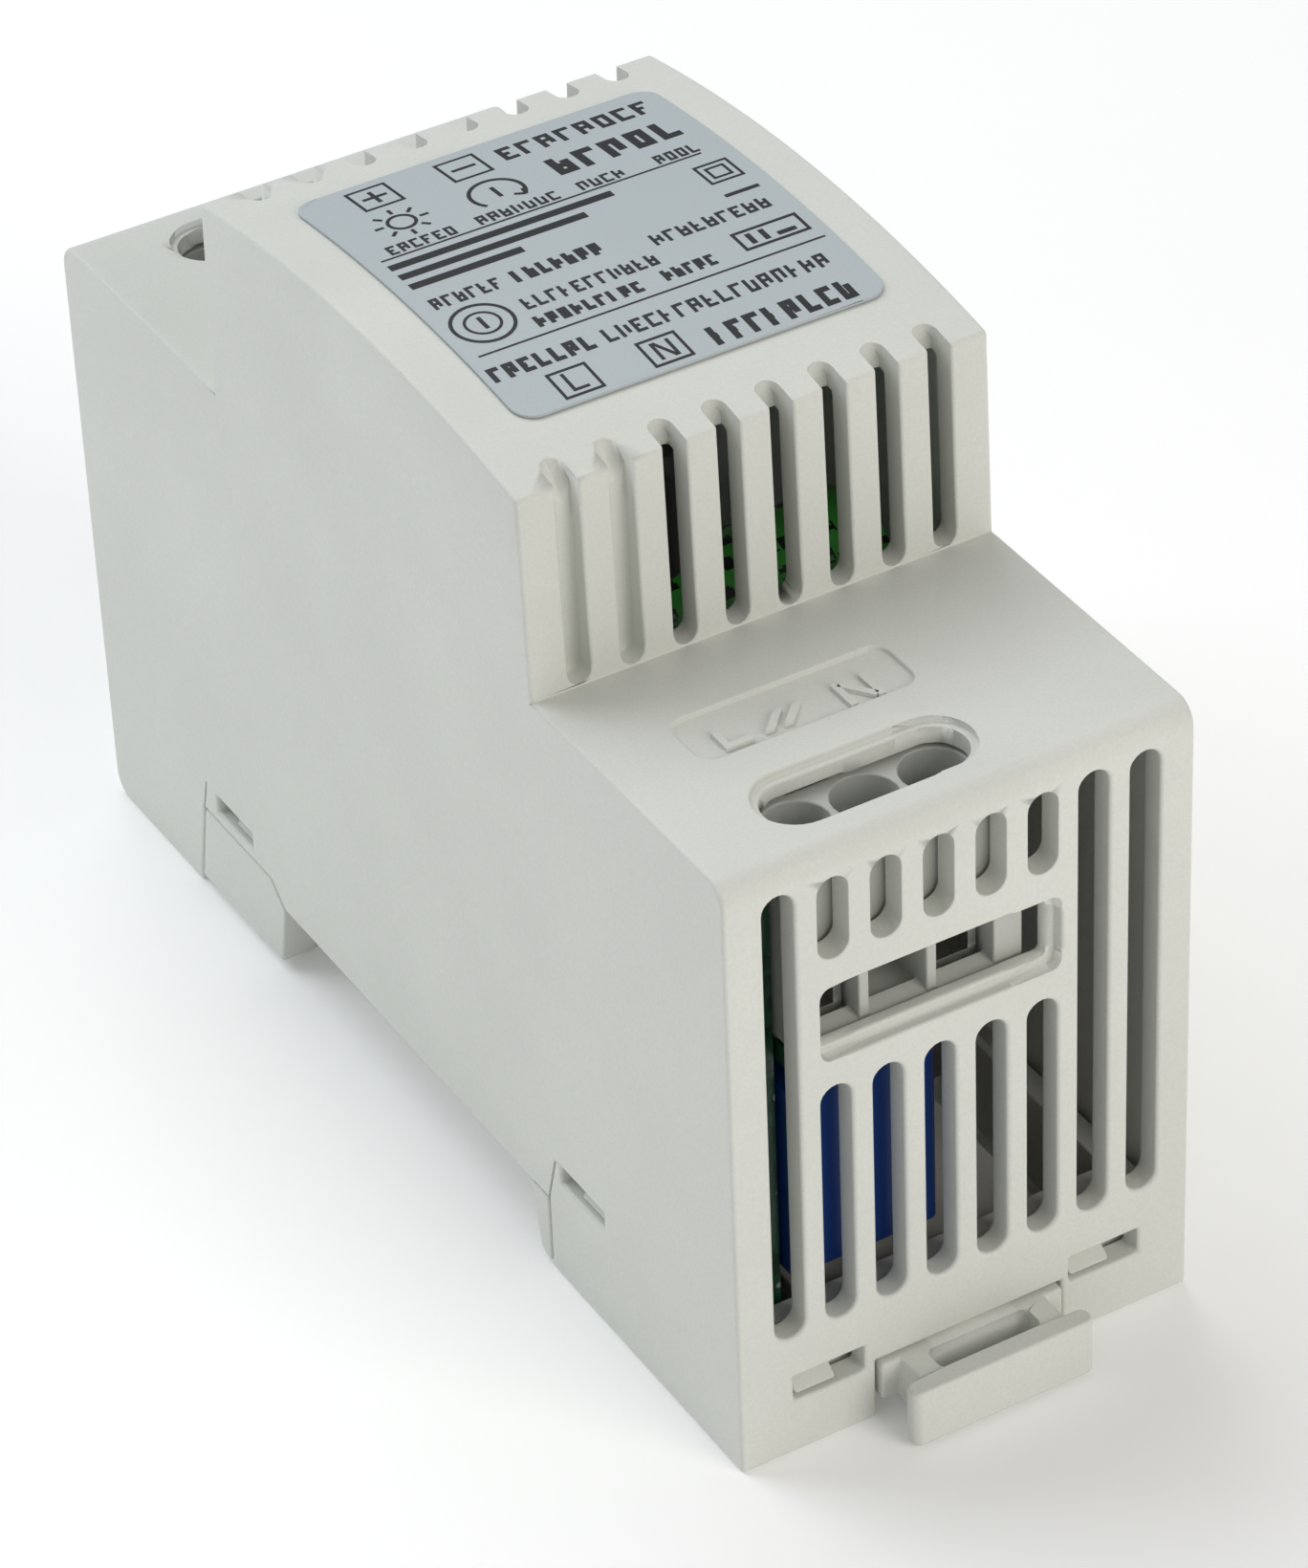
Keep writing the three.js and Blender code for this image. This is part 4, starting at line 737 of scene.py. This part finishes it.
def makeStage():
    half = studio["floorSize"] / 2
    corners = np.array([[-half, -half, 0], [half, -half, 0], [half, half, 0], [-half, half, 0]])
    mesh = bpy.data.meshes.new("floor")
    mesh.from_pydata(corners.tolist(), [], [[0, 1, 2, 3]])
    floor = objectFrom("floor", mesh)
    white = (1.0, 1.0, 1.0, 1.0)
    g = Graph("studio_floor", Roughness=0.9, Emission_Color=white, Emission_Strength=0.1)
    tone = colour(*studio["floorTone"])
    g.paint("Base Color", g.blend(g.noise(40 * mm, 2), tone, shade(tone, 0.985)))
    mesh.materials.append(g.material)
    world = bpy.data.worlds.new("studio")
    world.use_nodes = True
    sky = world.node_tree.nodes["Background"]
    sky.inputs["Color"].default_value = colour(*studio["skyTone"])
    sky.inputs["Strength"].default_value = studio["skyStrength"]
    bpy.context.scene.world = world


lamps = [
    # name, place, size, watts, tone
    ("left_softbox", (-0.36, 0.40, 0.46), 0.35, 1.45, (240, 247, 255)),
    ("top_softbox", (0.0, 0.42, 0.8), 0.6, 3.1, (250, 251, 252)),
    ("front_softbox", (0.22, -0.75, 0.40), 0.5, 3.1, (255, 249, 242)),
]


def makeLamps():
    target = Vector((0, 0, 0.03))
    for name, place, size, watts, tone in lamps:
        light = bpy.data.lights.new(name, "AREA")
        light.size = size
        light.energy = watts
        light.color = colour(*tone)[:3]
        holder = bpy.data.objects.new(name, light)
        bpy.context.scene.collection.objects.link(holder)
        holder.location = place
        holder.rotation_euler = (target - Vector(place)).to_track_quat("-Z", "Y").to_euler()


# The camera looks down a line given by azimuth and elevation, rolls about it and slides across it.
view = {"azimuth": -29.273, "elevation": 36.716, "roll": -2.536, "across": 2.181, "up": 16.911,
        "distance": 461.493, "focal": 6771.84, "frameHeight": 1640, "sensor": 36.0, "housingShift": 2.2}


def makeCamera():
    az, el, roll = (math.radians(view[k]) for k in ("azimuth", "elevation", "roll"))
    back = Vector((math.sin(az) * math.cos(el), -math.cos(az) * math.cos(el), math.sin(el)))
    flat = (-back).cross(Vector((0, 0, 1))).normalized()
    lift = flat.cross(-back)
    right = flat * math.cos(roll) + lift * math.sin(roll)
    up = lift * math.cos(roll) - flat * math.sin(roll)
    place = (right * view["across"] + up * view["up"] + back * view["distance"]) * mm
    place.y += view["housingShift"] * mm
    data = bpy.data.cameras.new("camera")
    data.sensor_width = view["sensor"]
    data.lens = view["focal"] * view["sensor"] / view["frameHeight"]
    data.clip_start = 0.01
    camera = bpy.data.objects.new("camera", data)
    bpy.context.scene.collection.objects.link(camera)
    turn = Matrix((right, up, back)).transposed().to_4x4()
    camera.matrix_world = Matrix.Translation(place) @ turn
    bpy.context.scene.camera = camera


makeStage()
makeLamps()
makeCamera()
bpy.context.scene.view_settings.view_transform = "Standard"
